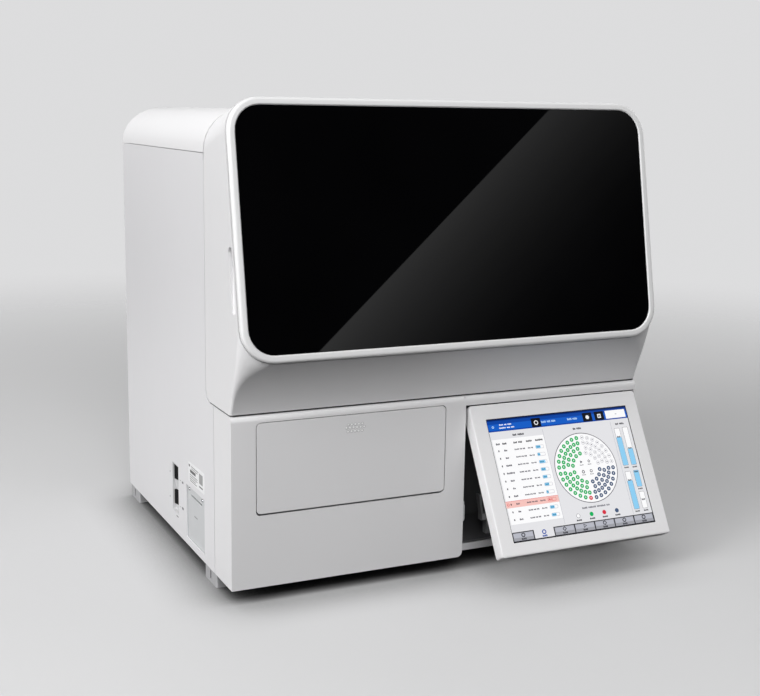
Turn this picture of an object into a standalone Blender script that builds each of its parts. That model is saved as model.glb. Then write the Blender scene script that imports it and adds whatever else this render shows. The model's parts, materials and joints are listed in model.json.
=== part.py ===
"""Benchtop chemiluminescence immunoassay analyzer, built piece by piece.

The body is a base tray on four feet with folded side panels, a rounded top cover and a rear panel.
In front sit the lower fascia with its waste door, the tilting display in its bay, and the hood, a
moulded shell with a tilted glass front that swings up over the working deck.

The origin is on the floor under the middle of the whole machine. +Z is up, the front faces -Y.
"""

import math

import bmesh
import bpy
from mathutils import Matrix, Vector

# Overall body
BODY_W = 0.650
BODY_D = 0.548
BODY_H = 0.641
FOOT_H = 0.022
SHOULDER_R = 0.056
SKIN = 0.003
SHEET = 0.0015
PANEL = 0.002
PLAY = 0.0003
SEAM = 0.0008

# Feet
FOOT_L = 0.052
FOOT_W = 0.045
FOOT_EDGE = 0.003
FRONT_FOOT_Y = 0.074
FOOT_SLOT_L = 0.007
FOOT_SLOT_H = 0.012
FOOT_SLOT_DEPTH = 0.014

# Side panels and top cover
HOOD_Z = 0.2436
HOOD_REAR = 0.107
SIDE_DROP = 0.003
SIDE_H = BODY_H - SHOULDER_R - SIDE_DROP
SIDE_SEAM = 0.0016
SIDE_STEP_R = 0.017
PANEL_RETURN = 0.014
NOTCH_W = 0.0025
NOTCH_H = 0.009
TOP_SEAM = 0.0030
LOUVRE_COUNT = 9
LOUVRE_PITCH = 0.011
LOUVRE_L = 0.070
LOUVRE_W = 0.004
LOUVRE_Y = 0.400
LOUVRE_Z = 0.115

# Front fascia, divided by the display on its right
SCREEN_W = 0.2882
SCREEN_MARGIN = 0.0036
SCREEN_LEFT = BODY_W / 2 - SCREEN_MARGIN - SCREEN_W
SCREEN_GAP = 0.0042
FASCIA_GAP = 0.002
FASCIA_D = 0.073
FASCIA_EDGE = 0.0085
PANEL_RIGHT = SCREEN_LEFT - SCREEN_GAP
STRIP_DROP = 0.0161
STRIP_Z = HOOD_Z - STRIP_DROP
FASCIA_CORNER = 0.008
RIGHT_WALL = 0.0025

# Waste door, its latch and the bin behind it
DOOR_MARGIN = 0.036
DOOR_LEFT = DOOR_MARGIN - BODY_W / 2
DOOR_POST = 0.033
DOOR_RIGHT = PANEL_RIGHT - DOOR_POST
DOOR_LOW = 0.104
DOOR_DROP = 0.0136
DOOR_TOP = HOOD_Z - DOOR_DROP
DOOR_R = 0.007
DOOR_GAP = 0.0012
DOOR_SILL_GAP = 0.0027
DOOR_PIVOT_Y = 0.0062
DOOR_PIVOT_Z = 0.113
DOOR_PIN_R = 0.0020
DOOR_PIN_L = 0.0055
DOOR_LUG = 0.008
DOOR_RIB = 0.0040
EAR_W = 0.0030
EAR_R = 0.0042
LATCH_W = 0.022
LATCH_D = 0.020
LATCH_H = 0.011
BAY_FLOOR = 0.098
BAY_FRONT = 0.016
BAY_BACK = 0.204
BAY_DROP = 0.0076
BAY_TOP = HOOD_Z - BAY_DROP
CHUTE_W = 0.032
CHUTE_D = 0.040
CHUTE_INSET = 0.024
CHUTE_X = DOOR_RIGHT - CHUTE_INSET
CHUTE_Y = 0.132
BIN_SIDE_GAP = 0.006
BIN_H = 0.098
BIN_TAPER = 0.004
BIN_WALL = 0.002

# Display and its bay
SCREEN_H = 0.2222
SCREEN_D = 0.0215
SCREEN_DROP = 0.0011
SCREEN_TOP = STRIP_Z - SCREEN_DROP
SCREEN_TILT = math.radians(29.5)
SCREEN_CORNER = 0.004
SCREEN_EDGE = 0.0022
BEZEL_D = 0.008
LIP_D = 0.0010
LCD_LEFT = 0.0223
LCD_RIGHT = 0.0212
LCD_DROP = 0.0224
LCD_SILL = 0.0186
LCD_W = SCREEN_W - LCD_LEFT - LCD_RIGHT
LCD_H = SCREEN_H - LCD_DROP - LCD_SILL
LCD_BORDER = 0.0040
LCD_D = 0.0060
PIVOT_DEPTH = 0.0145
PIVOT_DROP = 0.0100
HINGE_PIN_R = 0.0022
HINGE_ARM_R = 0.0046
HINGE_ARM_W = 0.012
HINGE_NOTCH_W = 0.016
HINGE_NOTCH_R = 0.0060
HINGE_SPREAD = 0.085
SCREEN_BAY_FRONT = 0.026
SCREEN_BAY_BACK = 0.140
SCREEN_BAY_LOW = 0.0108
SCREEN_BAY_TOP = BAY_TOP
SILL_Y = 0.0225
SILL_H = 0.0105
RETURN_D = 0.052
STAY_INSET = 0.0600
STAY_X = SCREEN_LEFT + STAY_INSET
STAY_Y = 0.042
STAY_D = 0.010
STAY_T = 0.004
STAY_FOOT = 0.026
STAY_PAD_W = 0.0085
STAY_PAD_H = 0.0105
STAY_PAD_Z = 0.035
STAY_ARM_T = 0.0030
STAY_ARM_H = 0.030
STAY_ARM_LEAN = 0.005

# Hood shell, frame and glass
RING_TILT = math.radians(11.0)
RING_INSET = 0.001
RING_CROWN = 0.0170
CHIN_H = 0.0764
RING_LOW_Y = -0.04776
RING_TOP_Z = BODY_H + RING_CROWN
RING_LOW_Z = HOOD_Z + CHIN_H
RING_Z = (RING_TOP_Z + RING_LOW_Z) / 2
RING_W = BODY_W - 2 * RING_INSET
RING_H = (RING_TOP_Z - RING_LOW_Z) / math.cos(RING_TILT)
RING_Y = RING_LOW_Y + RING_H / 2 * math.sin(RING_TILT)
RING_R = 0.0457
RING_D = 0.0065
RING_STEP = 0.006
RING_STEP_D = 0.0015
RING_ROUND = 0.0045
RING_CHAMFER = 0.0014
RIM_SIDE = 0.01055
RIM_TOP = 0.00975
GLASS_W = RING_W - 2 * RIM_SIDE
GLASS_H = RING_H - 2 * RIM_TOP
GLASS_R = 0.0405
GLASS_T = 0.004
GLASS_SINK = 0.0016
RING_LIP = 0.006
FLANGE = 0.016
CHIN_Y = 0.0037
CHIN_CORNER = 0.004
CHIN_CRISP = 3.5
CHIN_CURVE = (-0.008, HOOD_Z + 0.0414)
GRIP_BACK = 0.0069
GRIP_Y = RING_Y + GRIP_BACK
GRIP_DROP = 0.0647
GRIP_Z = RING_Z - GRIP_DROP
GRIP_L = 0.087
GRIP_W = 0.015
GRIP_DEPTH = 0.014
GRIP_RISE = 0.0075
GRIP_FADE = 0.0055

# Hood hinge
HINGE_Y = 0.096
HINGE_DROP = 0.008
HOOD_PIN_R = 0.0022
HOOD_BOSS_R = 0.0044
HOOD_LUG_W = 0.006
HOOD_EAR_W = 0.008
HINGE_MARGIN = 0.125
HOOD_HINGE_X = BODY_W / 2 - HINGE_MARGIN
BEAM_Y = 0.118
BEAM_D = 0.012
BEAM_H = 0.024

# Deck and inner frame
DECK_T = 0.003
DECK_MARGIN = 0.007
DECK_SIDE = BODY_W / 2 - DECK_MARGIN
DECK_BACK_MARGIN = 0.010
DECK_BACK = BODY_D - DECK_BACK_MARGIN
POST = 0.020
BACK_ROOM = 0.043
BACK_WALL_Y = BODY_D - BACK_ROOM
HEAD_ROOM = 0.0474
BACK_WALL_H = BODY_H - HOOD_Z - HEAD_ROOM
BACK_WALL_MARGIN = 0.035
BACK_WALL_HALF = BODY_W / 2 - BACK_WALL_MARGIN
BACK_WALL_FOOT = 0.020

# Rear row of the deck: tip rack, pipettor column and incubator, set off from the back wall
RACK_W = 0.110
RACK_D = 0.074
RACK_MARGIN = 0.038
RACK_X = RACK_MARGIN + RACK_W / 2 - BODY_W / 2
RACK_OFF = 0.065
RACK_Y = BACK_WALL_Y - RACK_OFF
INCUBATOR_R = 0.066
INCUBATOR_OFF = 0.075
INCUBATOR_Y = BACK_WALL_Y - INCUBATOR_OFF
TRAY_GAP = 0.003
TRAY_WALL = 0.005

# Sample carousel, in the room left between the side, the middle, the front and the tip rack
SAMPLE_MARGIN = 0.027
SAMPLE_MIDDLE = 0.022
SAMPLE_FRONT = 0.102
SAMPLE_BEHIND = 0.025
SAMPLE_ACROSS = BODY_W / 2 - SAMPLE_MARGIN - SAMPLE_MIDDLE
SAMPLE_DEEP = RACK_Y - RACK_D / 2 - SAMPLE_BEHIND - SAMPLE_FRONT
SAMPLE_R = min(SAMPLE_ACROSS, SAMPLE_DEEP) / 2
SAMPLE_X = SAMPLE_MARGIN + SAMPLE_R - BODY_W / 2
SAMPLE_Y = SAMPLE_FRONT + SAMPLE_R
SAMPLE_H = 0.046
TUBE_R = 0.0080
TUBE_DEPTH = 0.036
TUBE_MARGIN = 0.012
TUBE_ROW = 0.022
TUBE_ROWS = 3
TUBE_PITCH = 0.0229
TUBE_SIDES = 6
SECTORS = 4
SECTOR_MARGIN = math.radians(7.0)

# Reagent carousel, in the room left between the side, the middle, the front and the incubator
REAGENT_MARGIN = 0.050
REAGENT_MIDDLE = 0.055
REAGENT_FRONT = 0.105
REAGENT_BEHIND = 0.031
REAGENT_ACROSS = BODY_W / 2 - REAGENT_MARGIN - REAGENT_MIDDLE
TRAY_FRONT = INCUBATOR_Y - INCUBATOR_R - TRAY_GAP - TRAY_WALL
REAGENT_DEEP = TRAY_FRONT - REAGENT_BEHIND - REAGENT_FRONT
REAGENT_R = min(REAGENT_ACROSS, REAGENT_DEEP) / 2
REAGENT_X = BODY_W / 2 - REAGENT_MARGIN - REAGENT_R
REAGENT_Y = REAGENT_FRONT + REAGENT_R
REAGENT_H = 0.040
PACK_COUNT = 10
PACK_SHOWN = (4, 6, 9)
PACK_INNER = 0.042
PACK_RIM = 0.006
PACK_OUTER = REAGENT_R - PACK_RIM
PACK_ANGLE = math.radians(29.0)
PACK_H = 0.042
PACK_FIT = 0.0006
PACK_CAP_R = 0.0075
PACK_CAP_H = 0.006
PACK_CAP_INSET = 0.016
POCKET_FLOOR = 0.006

# Carousel drives
DRIVE_LIFT = 0.0045
FLANGE_T = 0.004
HUB_R = 0.012
KNOB_R = 0.017
KNOB_H = 0.018
STEM_R = 0.006
BEARING_PLAY = 0.001
SAMPLE_FLANGE_R = 0.030
REAGENT_FLANGE_R = 0.028
MOTOR_W = 0.042
MOTOR_H = 0.048

# Incubator, wash station and detector
DETECTOR_MARGIN = 0.039
DETECTOR_X = BODY_W / 2 - DETECTOR_MARGIN
DETECTOR_PITCH = 0.106
INCUBATOR_X = DETECTOR_X - DETECTOR_PITCH
INCUBATOR_H = 0.022
CUVETTES = 20
CUVETTE_RING = 0.056
CUVETTE_W = 0.008
WASH_W = 0.056
WASH_REACH = 0.044
WASH_H = 0.060
WASH_ARM = 0.016
DETECTOR_R = 0.021
DETECTOR_H = 0.088

# Pipettor
COLUMN_OFF = 0.065
COLUMN_Y = BACK_WALL_Y - COLUMN_OFF
COLUMN_R = 0.024
COLUMN_H = 0.090
MAST_R = 0.014
MAST_PLAY = 0.0006
MAST_TOP = 0.116
ARM_REACH = 0.200
ARM_ROOT_R = 0.022
ARM_TIP_R = 0.012
ARM_H = 0.026
PROBE_R = 0.0013
PROBE_L = 0.050
PROBE_BOSS = 0.006
WELL_R = 0.012
WELL_H = 0.050

# Tip rack and bottles
RACK_H = 0.048
RACK_COLS = 6
RACK_ROWS = 4
RACK_HOLE = 0.0048
RACK_DEPTH = 0.030
BOTTLE_MARGIN = 0.033
BOTTLE_X = BODY_W / 2 - BOTTLE_MARGIN
BOTTLE_FRONT = 0.110
BOTTLE_BEHIND = 0.185
BOTTLE_YS = (BOTTLE_FRONT, BACK_WALL_Y - BOTTLE_BEHIND)
BOTTLE_R = 0.017
BOTTLE_H = 0.078
CAP_R = 0.010
CAP_H = 0.014

# Left side service items
SWITCH_Y = 0.2658
SWITCH_Z = 0.0701
SWITCH_W = 0.033
SWITCH_H = 0.077
SWITCH_D = 0.0045
SWITCH_WALL = 0.0015
ROCKER_W = 0.026
ROCKER_H = 0.0225
ROCKER_T = 0.007
ROCKER_GAP = 0.0008
ROCKER_TILT = math.radians(6.0)
ROCKER_ZS = (0.0931, 0.0536)
FILTER_Y = 0.1645
FILTER_Z = 0.052
FILTER_W = 0.089
FILTER_H = 0.082
FILTER_LAP = 0.004
FINGER_L = 0.053
FINGER_W = 0.0025
FINGER_Z = 0.080

# Rear panel
FAN_MARGIN = 0.135
FAN_X = FAN_MARGIN - BODY_W / 2
FAN_DROP = 0.201
FAN_Z = BODY_H - FAN_DROP
FAN_R = 0.056
FAN_FRAME = 0.120
FAN_FRAME_D = 0.025
FAN_HUB_R = 0.020
FAN_BLADES = 7
FAN_PLAY = 0.002
GUARD_BAR = 0.0022
GUARD_GAP = 0.0105
GUARD_RINGS = 3
GUARD_HUB = 0.014
INLET_MARGIN = 0.105
INLET_X = BODY_W / 2 - INLET_MARGIN
INLET_Z = 0.070
INLET_W = 0.048
INLET_H = 0.028
INLET_D = 0.020
PORT_X = 0.080
PORT_Z = 0.060
PORT_PITCH = 0.030
PORT_R = 0.008
PORT_COUNT = 4
PORT_OUT = 0.014
VENT_X = 0.120
VENT_Z = FAN_Z
VENT_COLS = 12
VENT_PITCH = 0.014
VENT_L = 0.090
VENT_W = 0.005

# Facet counts
ROUND_SIDES = 24
CORNER_STEPS = 8
ARC_STEPS = 6

# Colours, roughness and metallic value of each finish
WHITE = ((0.78, 0.79, 0.81), 0.42, 0.0)
LIGHT_GREY = ((0.62, 0.63, 0.65), 0.45, 0.0)
MID_GREY = ((0.34, 0.35, 0.37), 0.50, 0.0)
DARK_GREY = ((0.06, 0.06, 0.065), 0.55, 0.0)
SATIN = ((0.60, 0.60, 0.62), 0.30, 0.6)
STEEL = ((0.55, 0.56, 0.58), 0.28, 0.9)
BLACK_GLASS = ((0.004, 0.004, 0.005), 0.05, 0.0)
LCD_FACE = ((0.75, 0.80, 0.90), 0.20, 0.0)
BLACK = ((0.015, 0.015, 0.016), 0.40, 0.0)
BLUE = ((0.05, 0.16, 0.45), 0.40, 0.0)
AMBER = ((0.45, 0.18, 0.05), 0.30, 0.0)

# Levels and planes worked out from the sizes above
HALF_W = BODY_W / 2
PIVOT_TO_TOP_Y = PIVOT_DEPTH * math.cos(SCREEN_TILT) - PIVOT_DROP * math.sin(SCREEN_TILT)
PIVOT_TO_TOP_Z = PIVOT_DEPTH * math.sin(SCREEN_TILT) + PIVOT_DROP * math.cos(SCREEN_TILT)
EDGE_TRIM = SCREEN_EDGE * (math.sin(SCREEN_TILT) + math.cos(SCREEN_TILT) - 1)
SCREEN_REACH = SCREEN_H * math.sin(SCREEN_TILT) - EDGE_TRIM
FRONT_Y = -(BODY_D - SCREEN_REACH) / 2
FASCIA_TOP = HOOD_Z - FASCIA_GAP
DECK_Z = FASCIA_TOP
DECK_LOW = DECK_Z - DECK_T
FRAME_GAP = 0.0018
SHELL_FRONT = RING_D + FRAME_GAP

OPEN_TOP = Vector((0, 0, 1))
OPEN_FRONT = Vector((0, -1, 0))
OPEN_LEFT = Vector((-1, 0, 0))


def clear_scene():
    for obj in list(bpy.data.objects):
        bpy.data.objects.remove(obj, do_unlink=True)


clear_scene()
PARTS = bpy.data.collections.new("immunoassay_analyzer")
CUTTERS = bpy.data.collections.new("cutters")
bpy.context.scene.collection.children.link(PARTS)
bpy.context.scene.collection.children.link(CUTTERS)


def at(x, depth, height):
    """A point from the body's middle plane, the depth behind the fascia and the height of the body."""
    return Vector((x, FRONT_Y + depth, FOOT_H + height))


def add_object(name, mesh, collection=PARTS):
    obj = bpy.data.objects.new(name, mesh)
    collection.objects.link(obj)
    if collection is CUTTERS:
        obj.hide_render = True
        obj.display_type = "WIRE"
    return obj


def paint(obj, finish):
    """Give the piece its own material."""
    color, roughness, metallic = finish
    mat = bpy.data.materials.new(obj.name)
    mat.use_nodes = True
    shader = mat.node_tree.nodes["Principled BSDF"]
    shader.inputs["Base Color"].default_value = (*color, 1.0)
    shader.inputs["Roughness"].default_value = roughness
    shader.inputs["Metallic"].default_value = metallic
    mat.diffuse_color = (*color, 1.0)
    obj.data.materials.clear()
    obj.data.materials.append(mat)
    return obj


def mesh_from(bm, name):
    bmesh.ops.recalc_face_normals(bm, faces=bm.faces)
    mesh = bpy.data.meshes.new(name)
    bm.to_mesh(mesh)
    bm.free()
    return mesh


def box(name, low, high, collection=PARTS):
    low, high = Vector(low), Vector(high)
    bm = bmesh.new()
    bmesh.ops.create_cube(bm, size=1.0)
    bmesh.ops.scale(bm, vec=high - low, verts=bm.verts)
    obj = add_object(name, mesh_from(bm, name), collection)
    obj.location = (low + high) / 2
    return obj


def open_box(name, low, high, wall, open_side):
    """A box shell with one side open, its wall growing inwards."""
    obj = box(name, low, high)
    bm = bmesh.new()
    bm.from_mesh(obj.data)
    gone = [face for face in bm.faces if face.normal.dot(open_side) > 0.9]
    bmesh.ops.delete(bm, geom=gone, context="FACES")
    bm.to_mesh(obj.data)
    bm.free()
    solidify(obj, wall)
    return obj


def solidify(obj, wall):
    mod = obj.modifiers.new("wall", "SOLIDIFY")
    mod.thickness = wall
    mod.offset = -1
    mod.use_even_offset = True
    return mod


def cylinder(name, radius, low, high, axis="Z", sides=ROUND_SIDES, collection=PARTS, top=None):
    """A cylinder or cone from the point low to the point high along one axis."""
    low, high = Vector(low), Vector(high)
    bm = bmesh.new()
    bmesh.ops.create_cone(
        bm,
        cap_ends=True,
        segments=sides,
        radius1=radius,
        radius2=radius if top is None else top,
        depth=(high - low).length,
    )
    obj = add_object(name, mesh_from(bm, name), collection)
    obj.location = (low + high) / 2
    turns = {"X": (0, math.pi / 2, 0), "Y": (-math.pi / 2, 0, 0), "Z": (0, 0, 0)}
    obj.rotation_euler = turns[axis]
    return obj


PLANES = {
    "X": Matrix(((0, 0, 1), (1, 0, 0), (0, 1, 0))),
    "Y": Matrix(((1, 0, 0), (0, 0, -1), (0, 1, 0))),
    "Z": Matrix.Identity(3),
}


def extruded(name, outlines, axis, low, high, collection=PARTS, edge=0.0):
    """Extrude flat outlines, the first being the rim and the others holes, along one axis.

    The outline's points are (y, z) for X, (x, z) for Y and (x, y) for Z, in model coordinates.
    """
    curve = bpy.data.curves.new(name, "CURVE")
    curve.dimensions = "2D"
    curve.fill_mode = "BOTH"
    curve.extrude = (high - low) / 2 - edge
    if edge:
        curve.bevel_depth = edge
        curve.bevel_resolution = 1
        curve.offset = -edge
    for outline in outlines:
        spline = curve.splines.new("POLY")
        spline.points.add(len(outline) - 1)
        for point, (u, v) in zip(spline.points, outline):
            point.co = (u, v, 0, 1)
        spline.use_cyclic_u = True
    source = bpy.data.objects.new(name + "_outline", curve)
    bpy.context.scene.collection.objects.link(source)
    middle = (low + high) / 2
    turn = PLANES[axis]
    source.matrix_world = Matrix.Translation(turn @ Vector((0, 0, middle))) @ turn.to_4x4()
    if axis == "Y":
        source.matrix_world = Matrix.Translation((0, middle, 0)) @ turn.to_4x4()
    bpy.context.view_layer.update()
    graph = bpy.context.evaluated_depsgraph_get()
    mesh = bpy.data.meshes.new_from_object(source.evaluated_get(graph))
    mesh.name = name
    bm = bmesh.new()
    bm.from_mesh(mesh)
    bmesh.ops.remove_doubles(bm, verts=bm.verts, dist=0.000002)
    bmesh.ops.recalc_face_normals(bm, faces=bm.faces)
    bm.to_mesh(mesh)
    bm.free()
    obj = add_object(name, mesh, collection)
    obj.matrix_world = source.matrix_world
    bpy.data.objects.remove(source, do_unlink=True)
    return obj


def moved(outline, u=0.0, v=0.0):
    return [(a + u, b + v) for a, b in outline]


def rect(low_u, low_v, high_u, high_v):
    return [(low_u, low_v), (high_u, low_v), (high_u, high_v), (low_u, high_v)]


def arc(centre, radius, start, end, steps):
    """Points on an arc, the angles in degrees."""
    points = []
    for i in range(steps + 1):
        angle = math.radians(start + (end - start) * i / steps)
        points.append((centre[0] + radius * math.cos(angle), centre[1] + radius * math.sin(angle)))
    return points


def circle(centre, radius, sides, phase=0.0):
    step = 360.0 / sides
    return arc(centre, radius, phase, phase + 360.0 - step, sides - 1)


def rounded_rect(half_w, half_h, radius, steps=CORNER_STEPS, centre=(0.0, 0.0)):
    points = []
    for quarter, (su, sv) in enumerate(((1, 1), (-1, 1), (-1, -1), (1, -1))):
        corner = (centre[0] + su * (half_w - radius), centre[1] + sv * (half_h - radius))
        points += arc(corner, radius, 90 * quarter, 90 * quarter + 90, steps)
    return points


def loft(name, loops, closed=False, collection=PARTS):
    """Join loops of equally many points by quads, and end to end when closed."""
    bm = bmesh.new()
    rows = [[bm.verts.new(point) for point in loop] for loop in loops]
    pairs = list(zip(rows, rows[1:]))
    if closed:
        pairs.append((rows[-1], rows[0]))
    count = len(rows[0])
    for near, far in pairs:
        for i in range(count):
            j = (i + 1) % count
            bm.faces.new((near[i], near[j], far[j], far[i]))
    return add_object(name, mesh_from(bm, name), collection)


def turned(name, profile, origin, sides=ROUND_SIDES):
    """Turn a profile of (radius, height) points, listed top to bottom, about the vertical.

    A profile that ends where it starts makes a ring.
    """
    bm = bmesh.new()
    ring = profile[0] == profile[-1]
    verts = [bm.verts.new((radius, 0, height)) for radius, height in profile[:len(profile) - ring]]
    verts += verts[:ring]
    for near, far in zip(verts, verts[1:]):
        bm.edges.new((near, far))
    mesh = bpy.data.meshes.new(name)
    bm.to_mesh(mesh)
    bm.free()
    obj = add_object(name, mesh)
    obj.location = origin
    mod = obj.modifiers.new("turn", "SCREW")
    mod.steps = sides
    mod.render_steps = sides
    mod.use_merge_vertices = True
    mod.merge_threshold = 0.00001
    mod.use_smooth_shade = False
    return obj


def boolean(obj, tool, operation):
    """Cut or join with a tool, which moves to the cutters."""
    for collection in list(tool.users_collection):
        collection.objects.unlink(tool)
    CUTTERS.objects.link(tool)
    tool.hide_render = True
    tool.display_type = "WIRE"
    mod = obj.modifiers.new(tool.name, "BOOLEAN")
    mod.operation = operation
    mod.object = tool
    mod.solver = "EXACT"
    return obj


def cut(obj, *tools):
    for tool in tools:
        boolean(obj, tool, "DIFFERENCE")
    return obj


def join(obj, *tools):
    for tool in tools:
        boolean(obj, tool, "UNION")
    return obj


def round_edges(obj, chosen, width, segments):
    """Round the mesh edges whose middle and direction the function chosen accepts."""
    bm = bmesh.new()
    bm.from_mesh(obj.data)
    edges = []
    for edge in bm.edges:
        middle = (edge.verts[0].co + edge.verts[1].co) / 2
        along = (edge.verts[1].co - edge.verts[0].co).normalized()
        if chosen(middle, along):
            edges.append(edge)
    bmesh.ops.bevel(bm, geom=edges, offset=width, segments=segments, affect="EDGES", profile=0.5)
    bm.to_mesh(obj.data)
    bm.free()
    return obj


def pivot(name, place, turn=(0, 0, 0)):
    """An empty on a joint's axis, for the pieces that move together."""
    empty = bpy.data.objects.new(name, None)
    PARTS.objects.link(empty)
    empty.location = place
    empty.rotation_euler = turn
    return empty


def hang(empty, *pieces):
    """Parent pieces to an empty and keep them in place."""
    bpy.context.view_layer.update()
    for piece in pieces:
        piece.parent = empty
        piece.matrix_parent_inverse = empty.matrix_world.inverted()


def merged_prisms(name, centres, radius, low, high, sides):
    """One cutter of many upright prisms."""
    bm = bmesh.new()
    for x, y in centres:
        place = Matrix.Translation((x, y, (low + high) / 2))
        bmesh.ops.create_cone(
            bm, cap_ends=True, segments=sides, radius1=radius, radius2=radius,
            depth=high - low, matrix=place,
        )
    return add_object(name, mesh_from(bm, name), CUTTERS)


# Base tray and feet

def make_base():
    wall = PANEL + SHEET + 2 * PLAY
    low = at(-HALF_W + wall, SILL_Y, 0)
    high = at(HALF_W - wall, BODY_D - PANEL - PLAY, SILL_H)
    base = open_box("base_plate", low, high, SHEET, OPEN_TOP)
    return paint(base, WHITE)


def make_foot(name, side, front):
    """A moulded block under the tray with a blind slot in its outer end."""
    outer = side * (HALF_W - PANEL)
    inner = side * (HALF_W - PANEL - FOOT_W)
    low = Vector((min(outer, inner), FRONT_Y + front, 0))
    high = Vector((max(outer, inner), FRONT_Y + front + FOOT_L, FOOT_H - PLAY))
    foot = box(name, low, high)
    round_edges(foot, lambda middle, along: abs(along.z) > 0.9, FOOT_EDGE, 3)
    centre_y = FRONT_Y + front + FOOT_L / 2
    slot_low = (outer - FOOT_SLOT_DEPTH, centre_y - FOOT_SLOT_L / 2, FOOT_H / 2 - FOOT_SLOT_H / 2)
    slot_high = (outer + FOOT_SLOT_DEPTH, centre_y + FOOT_SLOT_L / 2, FOOT_H / 2 + FOOT_SLOT_H / 2)
    cut(foot, box(name + "_slot", slot_low, slot_high, CUTTERS))
    return paint(foot, LIGHT_GREY)


def make_feet():
    rear = BODY_D - FOOT_L - SEAM
    for row, front in (("front", FRONT_FOOT_Y), ("rear", rear)):
        for word, side in (("left", -1), ("right", 1)):
            make_foot("foot_%s_%s" % (row, word), side, front)


# Side panels, top cover and rear panel

def side_outline():
    """The panel runs under the hood's lower rear corner and up behind the hood."""
    low = FOOT_H
    step = FASCIA_TOP
    front = HOOD_REAR + SIDE_SEAM
    low_front = FASCIA_D + SIDE_SEAM
    radius = SIDE_STEP_R
    corner = (front - radius, step + radius)
    points = [(low_front, 0), (BODY_D, 0), (BODY_D, SIDE_H), (front, SIDE_H)]
    points += arc(corner, radius, 0, -90, ARC_STEPS)
    points.append((low_front, step))
    return moved(points, FRONT_Y, low)


def upright_slots(count, pitch, first_u, low_v, high_v, width):
    """A row of upright slots."""
    return [
        rect(first_u + i * pitch - width / 2, low_v, first_u + i * pitch + width / 2, high_v)
        for i in range(count)
    ]


def make_side_panel(name, side):
    if side < 0:
        tub = rect(SWITCH_Y - SWITCH_W / 2, SWITCH_Z - SWITCH_H / 2,
                   SWITCH_Y + SWITCH_W / 2, SWITCH_Z + SWITCH_H / 2)
        cover = rect(FILTER_Y - FILTER_W / 2, FILTER_Z - FILTER_H / 2,
                     FILTER_Y + FILTER_W / 2, FILTER_Z + FILTER_H / 2)
        holes = [tub, cover]
    else:
        holes = upright_slots(LOUVRE_COUNT, LOUVRE_PITCH, LOUVRE_Y,
                              LOUVRE_Z - LOUVRE_L / 2, LOUVRE_Z + LOUVRE_L / 2, LOUVRE_W)
    holes = [moved(hole, FRONT_Y, FOOT_H) for hole in holes]
    outer, inner = sorted((side * HALF_W, side * (HALF_W - PANEL)))
    panel = extruded(name, [side_outline()], "X", outer, inner)
    cut(panel, extruded(name + "_holes", holes, "X", outer - PANEL, inner + PANEL, CUTTERS))
    front = HOOD_REAR + SIDE_SEAM
    edge = side * (HALF_W - PANEL / 2)
    tip = side * (HALF_W - PANEL_RETURN)
    low_x, high_x = sorted((edge, tip))
    lip_low = HOOD_Z + SIDE_STEP_R + SEAM
    lip = box(name + "_return", at(low_x, front, lip_low), at(high_x, front + PANEL, SIDE_H - NOTCH_H))
    join(panel, lip)
    notch_low = at(min(side * (HALF_W + SHEET), edge), front - SIDE_SEAM, SIDE_H - NOTCH_H)
    notch_high = at(max(side * (HALF_W + SHEET), side * (HALF_W - 2 * PANEL)), front + NOTCH_W, SIDE_H + SEAM)
    if side < 0:
        notch_high.x = -HALF_W + 2 * PANEL
    else:
        notch_low.x = HALF_W - 2 * PANEL
    cut(panel, box(name + "_notch", notch_low, notch_high, CUTTERS))
    return paint(panel, WHITE)


def make_top_cover():
    """A shell with rounded shoulders and a rounded rear edge, open below and in front."""
    low = at(-HALF_W, HOOD_REAR + TOP_SEAM, SIDE_H + SEAM)
    high = at(HALF_W, BODY_D, BODY_H)
    cover = box("top_cover", low, high)
    size = high - low
    top = size.z / 2 - 0.0001

    def on_top(middle, along):
        sides = middle.z > top and abs(along.y) > 0.9
        rear = middle.z > top and middle.y > 0 and abs(along.x) > 0.9
        return sides or rear

    round_edges(cover, on_top, SHOULDER_R, CORNER_STEPS)
    bm = bmesh.new()
    bm.from_mesh(cover.data)
    bottom = -size.z / 2 + 0.0001
    front = -size.y / 2 + 0.0001
    gone = [
        face for face in bm.faces
        if all(vert.co.z < bottom for vert in face.verts) or all(vert.co.y < front for vert in face.verts)
    ]
    bmesh.ops.delete(bm, geom=gone, context="FACES")
    bm.to_mesh(cover.data)
    bm.free()
    solidify(cover, SKIN)
    return paint(cover, WHITE)


def make_rear_panel():
    half = HALF_W - PANEL - PLAY
    outline = rect(-half, SHEET, half, SIDE_H - SEAM)
    fan_hole = circle((FAN_X, FAN_Z), FAN_R, ROUND_SIDES)
    inlet = rect(INLET_X - INLET_W / 2 - PLAY, INLET_Z - INLET_H / 2 - PLAY,
                 INLET_X + INLET_W / 2 + PLAY, INLET_Z + INLET_H / 2 + PLAY)
    first = VENT_X - VENT_PITCH * (VENT_COLS - 1) / 2
    vents = upright_slots(VENT_COLS, VENT_PITCH, first, VENT_Z - VENT_L / 2, VENT_Z + VENT_L / 2, VENT_W)
    ports = [
        circle((port_x(i), PORT_Z), PORT_R * 0.5 + PLAY, 12) for i in range(PORT_COUNT)
    ]
    outlines = [moved(line, 0, FOOT_H) for line in [outline, fan_hole, inlet] + vents + ports]
    back = FRONT_Y + BODY_D
    panel = extruded("rear_panel", outlines, "Y", back - PANEL, back)
    return paint(panel, WHITE)


def port_x(index):
    return PORT_X + PORT_PITCH * (index - (PORT_COUNT - 1) / 2)


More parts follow.
